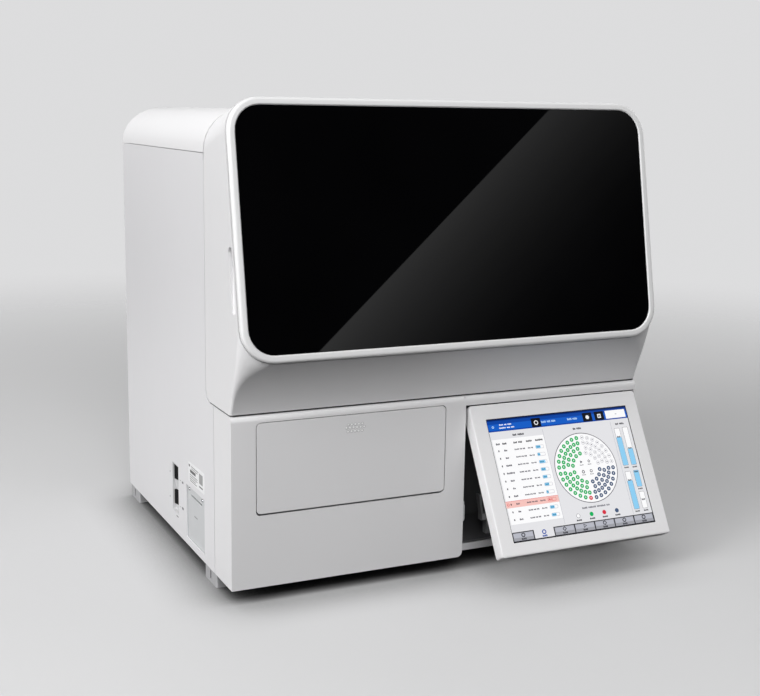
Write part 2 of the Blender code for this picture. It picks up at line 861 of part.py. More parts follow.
def make_ports():
    """Hose barbs for wash fluid and waste, on one manifold block behind the rear panel."""
    back = FRONT_Y + BODY_D
    inside = back - PANEL - PLAY
    span = PORT_PITCH * (PORT_COUNT - 1) / 2 + PORT_R * 1.5
    low = (PORT_X - span, inside - PORT_OUT, FOOT_H + PORT_Z - PORT_R * 1.5)
    high = (PORT_X + span, inside, FOOT_H + PORT_Z + PORT_R * 1.5)
    block = box("fluid_manifold", low, high)
    for i in range(PORT_COUNT):
        low = (port_x(i), inside - PORT_OUT / 2, FOOT_H + PORT_Z)
        high = (port_x(i), back - PLAY, FOOT_H + PORT_Z)
        join(block, cylinder("barb_%d" % i, PORT_R * 0.5, low, high, "Y", 12, CUTTERS))
    return paint(block, DARK_GREY)


def arc_slot(inner, outer, start, end, steps):
    return arc((0, 0), outer, start, end, steps) + arc((0, 0), inner, end, start, steps)


def make_fan():
    """Axial fan behind the rear panel: guard, square frame and rotor."""
    inside = FRONT_Y + BODY_D - PANEL - PLAY
    guard_t = SHEET
    holes = []
    radius = GUARD_HUB
    bar = GUARD_BAR
    for ring in range(GUARD_RINGS):
        outer = radius + GUARD_GAP
        clear = math.degrees(bar / 2 / radius)
        for quarter in range(4):
            start = 90 * quarter + 45 + clear
            holes.append(arc_slot(radius, outer, start, start + 90 - 2 * clear, 5))
        radius = outer + bar
    rim = rounded_rect(FAN_FRAME / 2, FAN_FRAME / 2, 0.006, 3)
    outlines = [moved(line, FAN_X, FOOT_H + FAN_Z) for line in [rim] + holes]
    guard = extruded("fan_guard", outlines, "Y", inside - guard_t, inside)
    paint(guard, STEEL)
    front = inside - guard_t - PLAY
    bore = circle((0, 0), FAN_R, ROUND_SIDES)
    outlines = [moved(line, FAN_X, FOOT_H + FAN_Z) for line in [rim, bore]]
    frame = extruded("fan_frame", outlines, "Y", front - FAN_FRAME_D, front)
    low = Vector((FAN_X - FAN_HUB_R, front - FAN_FRAME_D, FOOT_H + FAN_Z - FAN_FRAME / 2 + SKIN))
    high = Vector((FAN_X + FAN_HUB_R, front - FAN_FRAME_D + SKIN, FOOT_H + FAN_Z + FAN_HUB_R))
    join(frame, box("fan_strut", low, high, CUTTERS))
    paint(frame, BLACK)
    hub_low = (FAN_X, front - FAN_FRAME_D + SKIN + PLAY, FOOT_H + FAN_Z)
    hub_high = (FAN_X, front - FAN_PLAY, FOOT_H + FAN_Z)
    rotor = cylinder("fan_rotor", FAN_HUB_R, hub_low, hub_high, "Y", 14)
    reach = FAN_R - FAN_PLAY
    for i in range(FAN_BLADES):
        blade = box("blade_%d" % i, (-0.009, -0.0012, 0), (0.009, 0.0012, reach - FAN_HUB_R * 0.8), CUTTERS)
        place = Matrix.Translation((FAN_X, (hub_low[1] + hub_high[1]) / 2, FOOT_H + FAN_Z))
        spin = Matrix.Rotation(math.tau * i / FAN_BLADES, 4, "Y")
        pitch = Matrix.Rotation(math.radians(38), 4, "Z")
        lift = Matrix.Translation((0, 0, (reach + FAN_HUB_R * 0.8) / 2))
        blade.matrix_world = place @ spin @ lift @ pitch
        join(rotor, blade)
    paint(rotor, BLACK)
    hang(pivot("fan_axis", (FAN_X, hub_low[1], FOOT_H + FAN_Z)), rotor)


def make_inlet():
    """Appliance inlet with its three blades."""
    back = FRONT_Y + BODY_D - PLAY
    centre = Vector((INLET_X, back, FOOT_H + INLET_Z))
    half = Vector((INLET_W / 2, 0, INLET_H / 2))
    inlet = box("power_inlet", centre - half - Vector((0, INLET_D, 0)), centre + half)
    lip = Vector((0.010, 0, 0.0055))
    cavity = box("inlet_cavity", centre - half + lip - Vector((0, INLET_D - 0.003, 0)),
                 centre + half - lip + Vector((0, 0.001, 0)), CUTTERS)
    cut(inlet, cavity)
    for i, (x, z) in enumerate(((-0.007, -0.002), (0, 0.003), (0.007, -0.002))):
        foot = centre + Vector((x, -INLET_D + 0.001, z))
        blade = box("inlet_blade_%d" % i, foot - Vector((0.001, 0, 0.002)),
                    foot + Vector((0.001, INLET_D - 0.005, 0.002)), CUTTERS)
        join(inlet, blade)
    return paint(inlet, BLACK)


# Front fascia

def make_fascia():
    """One moulding: front wall, top ledge and side returns, with openings for door and display."""
    low = at(-HALF_W, 0, 0)
    high = at(HALF_W, FASCIA_D, FASCIA_TOP)
    fascia = box("front_fascia", low, high)
    size = high - low
    top, front = size.z / 2 - 0.0001, -size.y / 2 + 0.0001

    def top_front(middle, along):
        return middle.z > top and middle.y < front and abs(along.x) > 0.9

    round_edges(fascia, top_front, FASCIA_EDGE, 4)
    bm = bmesh.new()
    bm.from_mesh(fascia.data)
    rear, bottom = size.y / 2 - 0.0001, -size.z / 2 + 0.0001
    gone = [
        face for face in bm.faces
        if all(vert.co.y > rear for vert in face.verts) or all(vert.co.z < bottom for vert in face.verts)
    ]
    bmesh.ops.delete(bm, geom=gone, context="FACES")
    bm.to_mesh(fascia.data)
    bm.free()
    solidify(fascia, SKIN)
    clear_y, clear_z, top = SILL_Y - PLAY, SILL_H + PLAY, FASCIA_TOP - SKIN / 2
    wall = [(SKIN / 2, 0), (clear_y, 0), (clear_y, clear_z), (RETURN_D, clear_z), (RETURN_D, top), (SKIN / 2, top)]
    join(fascia, extruded("bay_return", [moved(wall, FRONT_Y, FOOT_H)], "X", PANEL_RIGHT - SKIN, PANEL_RIGHT))
    for i, x in enumerate((DOOR_LEFT - DOOR_GAP - PLAY - EAR_W, DOOR_RIGHT + DOOR_GAP + PLAY)):
        ear = box("door_ear_%d" % i, at(x, SKIN / 2, DOOR_PIVOT_Z - EAR_R),
                  at(x + EAR_W, DOOR_PIVOT_Y + EAR_R, DOOR_PIVOT_Z + EAR_R), CUTTERS)
        join(fascia, ear)
    r = FASCIA_CORNER
    right = HALF_W - RIGHT_WALL
    window = [(right, -r), (right, STRIP_Z), (PANEL_RIGHT, STRIP_Z)]
    window += arc((PANEL_RIGHT - r, r), r, 0, -90, ARC_STEPS)
    window.append((PANEL_RIGHT - r, -r))
    window = moved(window, 0, FOOT_H)
    cut(fascia, extruded("display_window", [window], "Y", FRONT_Y - SKIN, FRONT_Y + FASCIA_D + SKIN, CUTTERS))
    door = rounded_rect((DOOR_RIGHT - DOOR_LEFT) / 2 + DOOR_GAP,
                        (DOOR_TOP - DOOR_LOW + DOOR_GAP + DOOR_SILL_GAP) / 2, DOOR_R, 4,
                        ((DOOR_LEFT + DOOR_RIGHT) / 2,
                         FOOT_H + (DOOR_TOP + DOOR_GAP + DOOR_LOW - DOOR_SILL_GAP) / 2))
    cut(fascia, extruded("door_opening", [door], "Y", FRONT_Y - SKIN, FRONT_Y + SKIN + PLAY, CUTTERS))
    pin_low = at(DOOR_LEFT - 2 * DOOR_PIN_L, DOOR_PIVOT_Y, DOOR_PIVOT_Z)
    pin_high = at(DOOR_RIGHT + 2 * DOOR_PIN_L, DOOR_PIVOT_Y, DOOR_PIVOT_Z)
    cut(fascia, cylinder("door_pin_bore", DOOR_PIN_R + PLAY, pin_low, pin_high, "X", 12, CUTTERS))
    return paint(fascia, WHITE)


def make_door():
    """Drop-down door with hinge lugs and trunnions low on its inner face."""
    centre = ((DOOR_LEFT + DOOR_RIGHT) / 2, FOOT_H + (DOOR_TOP + DOOR_LOW) / 2)
    half_w, half_h = (DOOR_RIGHT - DOOR_LEFT) / 2, (DOOR_TOP - DOOR_LOW) / 2
    outline = rounded_rect(half_w, half_h, DOOR_R - DOOR_GAP, 4, centre)
    door = extruded("waste_door", [outline], "Y", FRONT_Y, FRONT_Y + SKIN, edge=0.0005)
    rim = rounded_rect(half_w - DOOR_LUG, half_h - DOOR_LUG, DOOR_R, 4, centre)
    core = rounded_rect(half_w - DOOR_LUG - 0.0018, half_h - DOOR_LUG - 0.0018, DOOR_R, 4, centre)
    rib = extruded("door_rib", [rim, core], "Y", FRONT_Y + SKIN / 2, FRONT_Y + SKIN + DOOR_RIB)
    join(door, rib)
    for i, (inner, outer) in enumerate(((DOOR_LEFT + DOOR_LUG, DOOR_LEFT + PLAY),
                                        (DOOR_RIGHT - DOOR_LUG, DOOR_RIGHT - PLAY))):
        low_x, high_x = sorted((inner, outer))
        lug = box("door_lug_%d" % i, at(low_x, SKIN / 2, DOOR_PIVOT_Z - DOOR_PIN_R * 1.6),
                  at(high_x, DOOR_PIVOT_Y + DOOR_PIN_R * 1.3, DOOR_PIVOT_Z + DOOR_PIN_R * 1.6), CUTTERS)
        join(door, lug)
        tip = outer + math.copysign(DOOR_PIN_L - PLAY, outer - inner)
        ends = sorted(((inner + outer) / 2, tip))
        join(door, cylinder("door_trunnion_%d" % i, DOOR_PIN_R, at(ends[0], DOOR_PIVOT_Y, DOOR_PIVOT_Z),
                            at(ends[1], DOOR_PIVOT_Y, DOOR_PIVOT_Z), "X", 12, CUTTERS))
    paint(door, WHITE)
    hang(pivot("door_axis", at(centre[0], DOOR_PIVOT_Y, DOOR_PIVOT_Z)), door)


def make_latch():
    """Push latch under the ledge, behind the middle of the door's top edge."""
    middle = (DOOR_LEFT + DOOR_RIGHT) / 2
    top = FASCIA_TOP - SKIN - PLAY
    low = at(middle - LATCH_W / 2, SKIN + DOOR_RIB + PLAY * 2, top - LATCH_H)
    high = at(middle + LATCH_W / 2, SKIN + DOOR_RIB + LATCH_D, top)
    latch = box("door_latch", low, high)
    nose = box("latch_nose", at(middle - LATCH_W / 4, SKIN + DOOR_RIB / 2, top - LATCH_H + 0.002),
               at(middle + LATCH_W / 4, SKIN + DOOR_RIB + 0.002, top - 0.003), CUTTERS)
    join(latch, nose)
    return paint(latch, DARK_GREY)


def make_bin_bay():
    """Folded sheet bay on two skirts, open above for the waste that drops from the deck."""
    left, right = DOOR_LEFT - DOOR_GAP - EAR_W * 3, DOOR_RIGHT + DOOR_GAP + EAR_W * 3
    floor, legs = BAY_FLOOR, SHEET + PLAY
    outline = [
        (left, legs), (left + SHEET, legs), (left + SHEET, floor - SHEET), (right - SHEET, floor - SHEET),
        (right - SHEET, legs), (right, legs), (right, BAY_TOP), (right - SHEET, BAY_TOP),
        (right - SHEET, floor), (left + SHEET, floor), (left + SHEET, BAY_TOP), (left, BAY_TOP),
    ]
    bay = extruded("bin_bay", [moved(outline, 0, FOOT_H)], "Y", FRONT_Y + BAY_FRONT, FRONT_Y + BAY_BACK)
    sill = SILL_Y + SHEET + PLAY
    low, high = at(left - SHEET, BAY_FRONT - SHEET, 0), at(right + SHEET, sill, SILL_H + PLAY)
    cut(bay, box("sill_clearance", low, high, CUTTERS))
    return paint(bay, LIGHT_GREY)


def make_bin():
    """Tapered open bin that stands on the bay's floor."""
    low_x, high_x = DOOR_LEFT + BIN_SIDE_GAP, DOOR_RIGHT - BIN_SIDE_GAP
    low_y, high_y = BAY_FRONT + BIN_SIDE_GAP, BAY_BACK - BIN_SIDE_GAP
    floor = BAY_FLOOR + PLAY
    low, high = at(low_x, low_y, floor), at(high_x, high_y, floor + BIN_H)
    waste = box("waste_bin", low, high)
    bm = bmesh.new()
    bm.from_mesh(waste.data)
    size = high - low
    for vert in bm.verts:
        if vert.co.z < 0:
            vert.co.x *= 1 - 2 * BIN_TAPER / size.x
            vert.co.y *= 1 - 2 * BIN_TAPER / size.y
    gone = [face for face in bm.faces if face.normal.z > 0.9]
    bmesh.ops.delete(bm, geom=gone, context="FACES")
    upright = [edge for edge in bm.edges if abs(edge.verts[0].co.z - edge.verts[1].co.z) > BIN_H / 2]
    bmesh.ops.bevel(bm, geom=upright, offset=0.008, segments=3, affect="EDGES", profile=0.5)
    bm.to_mesh(waste.data)
    bm.free()
    solidify(waste, BIN_WALL)
    return paint(waste, MID_GREY)


# Display bay and tilting display

def display_point():
    """The display's hinge axis, from the top front edge and the tilt."""
    middle = SCREEN_LEFT + SCREEN_W / 2
    return at(middle, PIVOT_TO_TOP_Y, SCREEN_TOP - PIVOT_TO_TOP_Z)


def hinge_xs():
    middle = SCREEN_LEFT + SCREEN_W / 2
    return (middle - HINGE_SPREAD, middle + HINGE_SPREAD)


def make_screen_bay():
    """Dark liner with two hinge arms that reach forward into the display's back."""
    left = PANEL_RIGHT + PLAY
    right = HALF_W - PANEL - PLAY - SHEET
    low = at(left, SCREEN_BAY_FRONT, SCREEN_BAY_LOW)
    high = at(right, SCREEN_BAY_BACK, SCREEN_BAY_TOP)
    bay = open_box("screen_bay", low, high, PANEL, OPEN_FRONT)
    place = display_point()
    for i, x in enumerate(hinge_xs()):
        centre = (place.y, place.z)
        roof = FOOT_H + SCREEN_BAY_TOP - PANEL / 2
        back = FRONT_Y + SCREEN_BAY_FRONT + HINGE_ARM_W
        arm = arc(centre, HINGE_ARM_R, 110, 290, 8)
        arm += [(back + HINGE_ARM_R, place.z + HINGE_ARM_R), (back + HINGE_ARM_R, roof), (back - HINGE_ARM_R, roof),
                (back - HINGE_ARM_R, place.z + 2 * HINGE_ARM_R)]
        bore = circle(centre, HINGE_PIN_R + PLAY, 16)
        shape = extruded("display_arm_%d" % i, [arm, bore], "X", x - HINGE_ARM_W / 2, x + HINGE_ARM_W / 2)
        join(bay, shape)
    return paint(bay, DARK_GREY)


def make_display():
    """Bezel, screen and back cover, modelled upright about the hinge axis and then tilted."""
    left, right = -SCREEN_W / 2, SCREEN_W / 2
    face = -PIVOT_DEPTH
    top, bottom = PIVOT_DROP, PIVOT_DROP - SCREEN_H
    centre = (0.0, (top + bottom) / 2)
    outline = rounded_rect(SCREEN_W / 2, SCREEN_H / 2, SCREEN_CORNER, 3, centre)
    lcd_centre = (left + LCD_LEFT + LCD_W / 2, top - LCD_DROP - LCD_H / 2)
    window = rounded_rect(LCD_W / 2, LCD_H / 2, 0.0006, 1, lcd_centre)
    bezel = extruded("display_bezel", [outline], "Y", face, face + BEZEL_D + SCREEN_EDGE, edge=SCREEN_EDGE)
    cut(bezel, box("bezel_trim", (left * 2, face + BEZEL_D, bottom * 2), (right * 2, 0.1, top * 2), CUTTERS))
    cut(bezel, extruded("bezel_window", [window], "Y", face - 0.001, face + LIP_D + 0.001, CUTTERS))
    pocket_half = (LCD_W / 2 + LCD_BORDER, LCD_H / 2 + LCD_BORDER)
    pocket = box("bezel_pocket", (lcd_centre[0] - pocket_half[0], face + LIP_D, lcd_centre[1] - pocket_half[1]),
                 (lcd_centre[0] + pocket_half[0], face + BEZEL_D + 0.01, lcd_centre[1] + pocket_half[1]), CUTTERS)
    cut(bezel, pocket)
    paint(bezel, WHITE)
    fit = Vector((PLAY, 0, PLAY))
    lcd_low = Vector((lcd_centre[0] - pocket_half[0], face + LIP_D + PLAY, lcd_centre[1] - pocket_half[1])) + fit
    lcd_high = Vector((lcd_centre[0] + pocket_half[0], face + LIP_D + LCD_D, lcd_centre[1] + pocket_half[1])) - fit
    panel = paint(box("display_panel", lcd_low, lcd_high), LCD_FACE)
    seam = face + BEZEL_D + PLAY
    rear = face + SCREEN_D
    back = extruded("display_back", [outline], "Y", seam - SCREEN_EDGE, rear, edge=SCREEN_EDGE)
    cut(back, box("back_trim", (left * 2, -0.1, bottom * 2), (right * 2, seam, top * 2), CUTTERS))
    for i, x in enumerate(hinge_xs()):
        middle = x - (SCREEN_LEFT + SCREEN_W / 2)
        half = HINGE_NOTCH_W / 2
        notch = box("hinge_notch_%d" % i, (middle - half, -HINGE_NOTCH_R + 0.0002, -HINGE_NOTCH_R),
                    (middle + half, rear + 0.01, top + 0.01), CUTTERS)
        cut(back, notch)
        pin = cylinder("hinge_pin_%d" % i, HINGE_PIN_R, (middle - half - 0.002, 0, 0),
                       (middle + half + 0.002, 0, 0), "X", 16, CUTTERS)
        join(back, pin)
    paint(back, WHITE)
    empty = pivot("display_axis", display_point(), (-SCREEN_TILT, 0, 0))
    for piece in (bezel, panel, back):
        piece.parent = empty
    for tool in list(CUTTERS.objects):
        if tool.name.startswith(("bezel_", "back_", "hinge_notch", "hinge_pin")):
            tool.parent = empty


def make_stay():
    """Bent rest with a pad and a leaning arm, standing in the bay behind the display's lower edge."""
    floor = SCREEN_BAY_LOW + PANEL + PLAY
    low, top = STAY_PAD_Z, STAY_PAD_Z + STAY_PAD_H
    left = -STAY_PAD_W
    tip = top + STAY_ARM_H
    outline = [
        (0, floor), (STAY_FOOT, floor), (STAY_FOOT, floor + STAY_T), (STAY_T, floor + STAY_T),
        (STAY_T, top), (left + STAY_ARM_T, top), (left + STAY_ARM_T - STAY_ARM_LEAN, tip),
        (left - STAY_ARM_LEAN, tip), (left, top), (left, low), (0, low),
    ]
    front = FRONT_Y + STAY_Y
    stay = extruded("display_stop", [moved(outline, STAY_X, FOOT_H)], "Y", front, front + STAY_D)
    return paint(stay, WHITE)


# Hood

def ring_point(x, w, depth):
    """A point of the tilted frame: across, up along the frame, and back from its face."""
    y = RING_Y + w * math.sin(RING_TILT) + depth * math.cos(RING_TILT)
    z = RING_Z + w * math.cos(RING_TILT) - depth * math.sin(RING_TILT)
    return at(x, y, z)


def frame_loop(inset, depth):
    radius = RING_R - inset
    points = rounded_rect(RING_W / 2 - inset, RING_H / 2 - inset, radius)
    return [ring_point(x, w, depth) for x, w in points]


def bezier(start, control, end, t):
    return [a * (1 - t) ** 2 + 2 * b * t * (1 - t) + c * t * t for a, b, c in zip(start, control, end)]


SIDE_ROWS = 7


def front_side_points():
    """Down the shell's straight front side edge, from the top corner to the bottom one."""
    half = RING_H / 2 + SHELL_RIM - SHELL_R
    rows = []
    for i in range(1, SIDE_ROWS + 1):
        rows.append(ring_point(HALF_W, half - 2 * half * i / (SIDE_ROWS + 1), SHELL_FRONT))
    return rows


def rim_side_points():
    """Down the rear edge, round the lower rear corner and forward along the bottom edge."""
    upper = BODY_H - SHOULDER_R
    corner = HOOD_Z + SIDE_STEP_R
    rear = HOOD_REAR
    diagonal = SIDE_STEP_R * (1 - math.cos(math.pi / 4))
    path = [
        (rear, upper - (upper - corner) * 0.36),
        (rear, upper - (upper - corner) * 0.70),
        (rear, corner),
        (rear - diagonal, HOOD_Z + diagonal),
        (rear - SIDE_STEP_R, HOOD_Z),
        (rear * 0.58, HOOD_Z),
        (rear * 0.30, HOOD_Z),
    ]
    return [at(HALF_W, y, z) for y, z in path]


SHELL_RIM = HALF_W - RING_W / 2
SHELL_R = RING_R + SHELL_RIM


def shell_half(t):
    """One level of the shell's right half, from the top middle to the bottom middle.

    t runs from 0 at the frame's back to 1 at the open rim. The corner between side and chin is as
    round as the frame at its back, and soon crisp below it.
    """
    steps = ARC_STEPS
    half_w, half_h = HALF_W, RING_H / 2 + SHELL_RIM
    points = []
    for i in range(steps + 1):
        angle = math.pi / 2 * (1 - i / steps)
        cos, sin = math.cos(angle), math.sin(angle)
        near = ring_point(half_w - SHELL_R + SHELL_R * cos, half_h - SHELL_R + SHELL_R * sin, SHELL_FRONT)
        far = at(HALF_W - SHOULDER_R + SHOULDER_R * cos, HOOD_REAR, BODY_H - SHOULDER_R + SHOULDER_R * sin)
        points.append(near.lerp(far, t))
    chin_start = ring_point(HALF_W, -half_h, SHELL_FRONT)
    chin_end = at(HALF_W, CHIN_Y, HOOD_Z)
    chin_curve = at(HALF_W, *CHIN_CURVE)
    corner = Vector(bezier(chin_start, chin_curve, chin_end, t))
    side_start = ring_point(HALF_W, -(half_h - SHELL_R), SHELL_FRONT)
    side_end = at(HALF_W, CHIN_Y + CHIN_CORNER, HOOD_Z)
    round_left = (1 - t) ** CHIN_CRISP
    side = corner + (side_end - chin_end).lerp(side_start - chin_start, round_left)
    pull = side - side_start.lerp(side_end, t)
    rows = list(zip(front_side_points(), rim_side_points()))
    for i, (near, far) in enumerate(rows, start=1):
        points.append(near.lerp(far, t) + pull * (i / (len(rows) + 1)) ** 2)
    width = CHIN_CORNER + (SHELL_R - CHIN_CORNER) * round_left
    chin = corner - Vector((width, 0, 0))
    for i in range(steps + 1):
        angle = math.pi / 2 * i / steps
        centre = side + chin - corner
        points.append(centre + (corner - chin) * math.cos(angle) + (corner - side) * math.sin(angle))
    return points


def mirrored(points):
    return [Vector((-point.x, point.y, point.z)) for point in reversed(points)]


def flange_half():
    """The seat's inner edge behind the frame, matched point by point to the shell's front edge."""
    points = []
    half_w, half_h = HALF_W - FLANGE, RING_H / 2 + SHELL_RIM - FLANGE
    radius = SHELL_R - FLANGE
    side_half = RING_H / 2 + SHELL_RIM - SHELL_R
    for i in range(ARC_STEPS + 1):
        angle = math.pi / 2 * (1 - i / ARC_STEPS)
        points.append(ring_point(half_w - radius + radius * math.cos(angle),
                                 half_h - radius + radius * math.sin(angle), SHELL_FRONT))
    for i in range(1, SIDE_ROWS + 1):
        points.append(ring_point(half_w, side_half - 2 * side_half * i / (SIDE_ROWS + 1), SHELL_FRONT))
    for i in range(ARC_STEPS + 1):
        angle = -math.pi / 2 * i / ARC_STEPS
        points.append(ring_point(half_w - radius + radius * math.cos(angle),
                                 -half_h + radius + radius * math.sin(angle), SHELL_FRONT))
    return points


def make_hood_shell():
    """Lofted moulding from the tilted frame's outline to the body's section, with a concave chin."""
    loops = [flange_half() + mirrored(flange_half())]
    for t in (0.0, 0.14, 0.28, 0.42, 0.56, 0.70, 0.84, 1.0):
        half = shell_half(t)
        loops.append(half + mirrored(half))
    shell = loft("hood_shell", loops)
    solidify(shell, SKIN)
    for word, side in (("left", -1), ("right", 1)):
        inner, outer = sorted((side * (HALF_W - SKIN / 2), side * (HALF_W - SKIN - GRIP_DEPTH)))
        reach = GRIP_W / 2 + SKIN * 0.7
        low = at(inner, GRIP_Y - reach, GRIP_Z - GRIP_L / 2 - SKIN)
        high = at(outer, GRIP_Y + reach, GRIP_Z + GRIP_L / 2 + SKIN)
        grip = rounded_rect(GRIP_W / 2, GRIP_L / 2, GRIP_W / 2 - 0.0005, 4,
                            (FRONT_Y + GRIP_Y, FOOT_H + GRIP_Z))
        scoop_ends = sorted((side * (HALF_W + SKIN), side * (HALF_W - GRIP_DEPTH)))
        back = box("grip_back_" + word, low, high, CUTTERS)
        scoop = extruded("grip_scoop_" + word, [grip], "X", *scoop_ends, collection=CUTTERS)
        slope_floor(scoop, side)
        for tool in (back, scoop):
            lean_about(tool, at(0, GRIP_Y, GRIP_Z))
        join(shell, back)
        cut(shell, scoop)
    return paint(shell, WHITE)


def slope_floor(scoop, side):
    """Slope the scoop's floor: deepest along the front and at the top, almost out at the lower rear."""
    bm = bmesh.new()
    bm.from_mesh(scoop.data)
    for vert in bm.verts:
        if vert.co.z * side < 0:
            back = (vert.co.x - FRONT_Y - GRIP_Y) / GRIP_W + 0.5
            down = (FOOT_H + GRIP_Z - vert.co.y) / GRIP_L + 0.5
            vert.co.z += side * (GRIP_RISE * back + GRIP_FADE * down)
    bm.to_mesh(scoop.data)
    bm.free()


def lean_about(obj, place):
    """Lean a tool back with the frame about a point."""
    bpy.context.view_layer.update()
    turn = Matrix.Translation(place) @ Matrix.Rotation(-RING_TILT, 4, "X") @ Matrix.Translation(-place)
    obj.matrix_world = turn @ obj.matrix_world


def make_hood_ring():
    """Rounded frame that carries the glass: front round, inner chamfer, glass seat, lip and rear step."""
    border = (RING_W - GLASS_W) / 2
    seat = GLASS_SINK + GLASS_T + 2 * PLAY
    section = [(0, RING_D)]
    section += arc((RING_ROUND, RING_ROUND), RING_ROUND, 180, 270, 3)
    section += [
        (border - RING_CHAMFER, 0), (border, RING_CHAMFER), (border, seat), (border + RING_LIP, seat),
        (border + RING_LIP, RING_D + RING_STEP_D), (RING_STEP, RING_D + RING_STEP_D), (RING_STEP, RING_D),
    ]
    ring = loft("hood_ring", [frame_loop(inset, depth) for inset, depth in section], closed=True)
    return paint(ring, SATIN)


def make_hood_glass():
    inset = (RING_W - GLASS_W) / 2 + PLAY
    seat = GLASS_SINK + GLASS_T + PLAY
    edge = 0.0005
    loops = [
        frame_loop(inset + edge, GLASS_SINK), frame_loop(inset, GLASS_SINK + edge), frame_loop(inset, seat),
    ]
    glass = loft("hood_glass", loops)
    bm = bmesh.new()
    bm.from_mesh(glass.data)
    bmesh.ops.holes_fill(bm, edges=[edge for edge in bm.edges if edge.is_boundary], sides=0)
    bmesh.ops.recalc_face_normals(bm, faces=bm.faces)
    bm.to_mesh(glass.data)
    bm.free()
    return paint(glass, BLACK_GLASS)


def hood_axis():
    return at(0, HINGE_Y, BODY_H - HINGE_DROP)


def make_hood_hinge():
    """Bar under the hood's top whose two lugs carry the pins that turn in the beam's ears."""
    place = hood_axis()
    centre = (place.y, place.z)
    top = FOOT_H + BODY_H - SKIN - PLAY
    outline = arc(centre, HOOD_BOSS_R, 180, 360, 8)
    outline += [(place.y + HOOD_BOSS_R, top), (place.y - HOOD_BOSS_R, top)]
    low = HOOD_HINGE_X - HOOD_LUG_W / 2
    bar_low = Vector((-low, place.y - HOOD_BOSS_R, place.z + HOOD_PIN_R))
    bar = box("hood_hinge", bar_low, (low, place.y + HOOD_BOSS_R, top))
    for word, side in (("left", -1), ("right", 1)):
        start, end = side * HOOD_HINGE_X, side * (HOOD_HINGE_X - HOOD_LUG_W)
        low_x, high_x = sorted((start, end))
        join(bar, extruded("hinge_lug_" + word, [outline], "X", low_x, high_x))
        tip = start + side * (HOOD_EAR_W + 2 * PLAY)
        ends = sorted((start - side * HOOD_LUG_W / 2, tip))
        pin = cylinder("lug_pin_" + word, HOOD_PIN_R, (ends[0], place.y, place.z), (ends[1], place.y, place.z),
                       "X", 16, CUTTERS)
        join(bar, pin)
    return paint(bar, STEEL)


def make_hinge_beam():
    """Arched beam under the top cover, with two ears that hold the hood's pins."""
    side = HALF_W - PANEL - PLAY
    top = BODY_H - SKIN - PLAY
    flat = HALF_W - SHOULDER_R - 0.004
    low = SIDE_H - BEAM_H
    outline = [
        (side, low), (side, SIDE_H - NOTCH_H), (flat, top), (-flat, top), (-side, SIDE_H - NOTCH_H), (-side, low),
        (-side + BEAM_H, low), (-flat + BEAM_H / 2, top - BEAM_H), (flat - BEAM_H / 2, top - BEAM_H),
        (side - BEAM_H, low),
    ]
    front = FRONT_Y + BEAM_Y
    beam = extruded("hinge_beam", [moved(outline, 0, FOOT_H)], "Y", front, front + BEAM_D)
    place = hood_axis()
    for i, side_sign in enumerate((-1, 1)):
        near = side_sign * (HOOD_HINGE_X + PLAY)
        far = side_sign * (HOOD_HINGE_X + PLAY + HOOD_EAR_W)
        neck = place.z - FOOT_H - 0.013
        foot = BODY_H - BEAM_H - SKIN
        ear = arc((place.y, place.z), HOOD_BOSS_R, 0, 180, 8)
        ear += [
            (place.y - HOOD_BOSS_R, FOOT_H + foot), (front + BEAM_D / 2, FOOT_H + foot),
            (front + BEAM_D / 2, FOOT_H + neck), (place.y + HOOD_BOSS_R, FOOT_H + neck),
        ]
        bore = circle((place.y, place.z), HOOD_PIN_R + PLAY, 16)
        low_x, high_x = sorted((near, far))
        join(beam, extruded("beam_ear_%d" % i, [ear, bore], "X", low_x, high_x))
    return paint(beam, STEEL)


def make_hood():
    pieces = [make_hood_shell(), make_hood_ring(), make_hood_glass()]
    pieces.append(make_hood_hinge())
    hang(pivot("hood_axis", hood_axis()), *pieces)


# Deck, inner frame and back wall

def make_deck():
    """Working deck behind the fascia's ledge: holes for the drive stems and a chute over the bin."""
    outline = rect(-DECK_SIDE, FASCIA_D + SIDE_SEAM, DECK_SIDE, DECK_BACK)
    stems = [circle(centre, STEM_R + BEARING_PLAY, 16) for centre in drive_centres()]
    chute = rounded_rect(CHUTE_W / 2, CHUTE_D / 2, 0.004, 2, (CHUTE_X, CHUTE_Y))
    outlines = [moved(line, 0, FRONT_Y) for line in [outline, chute] + stems]
    deck = extruded("deck_plate", outlines, "Z", FOOT_H + DECK_LOW, FOOT_H + DECK_Z)
    return paint(deck, LIGHT_GREY)


def drive_centres():
    return ((SAMPLE_X, SAMPLE_Y), (REAGENT_X, REAGENT_Y), (INCUBATOR_X, INCUBATOR_Y))


def make_side_frames():
    """Welded frame on each side: two posts under the deck, joined by a low rail."""
    front, rear = BAY_BACK + SEAM, DECK_BACK - POST
    for word, side in (("left", -1), ("right", 1)):
        low_x, high_x = sorted((side * DECK_SIDE, side * (DECK_SIDE - POST)))
        foot, top = SHEET + PLAY, DECK_LOW - PLAY
        outline = [
            (front, foot), (rear + POST, foot), (rear + POST, top), (rear, top), (rear, foot + POST),
            (front + POST, foot + POST), (front + POST, top), (front, top),
        ]
        frame = extruded("side_frame_" + word, [moved(outline, FRONT_Y, FOOT_H)], "X", low_x, high_x)
        paint(frame, STEEL)


def make_back_wall():
    """Folded wall behind the deck, with a foot along its lower edge."""
    front, wall = BACK_WALL_Y, SHEET
    low = DECK_Z + PLAY
    outline = [
        (front, low), (front + BACK_WALL_FOOT, low), (front + BACK_WALL_FOOT, low + wall),
        (front + wall, low + wall), (front + wall, low + BACK_WALL_H), (front, low + BACK_WALL_H),
    ]
    back = extruded("back_wall", [moved(outline, FRONT_Y, FOOT_H)], "X", -BACK_WALL_HALF, BACK_WALL_HALF)
    return paint(back, WHITE)


# Carousels and their drives

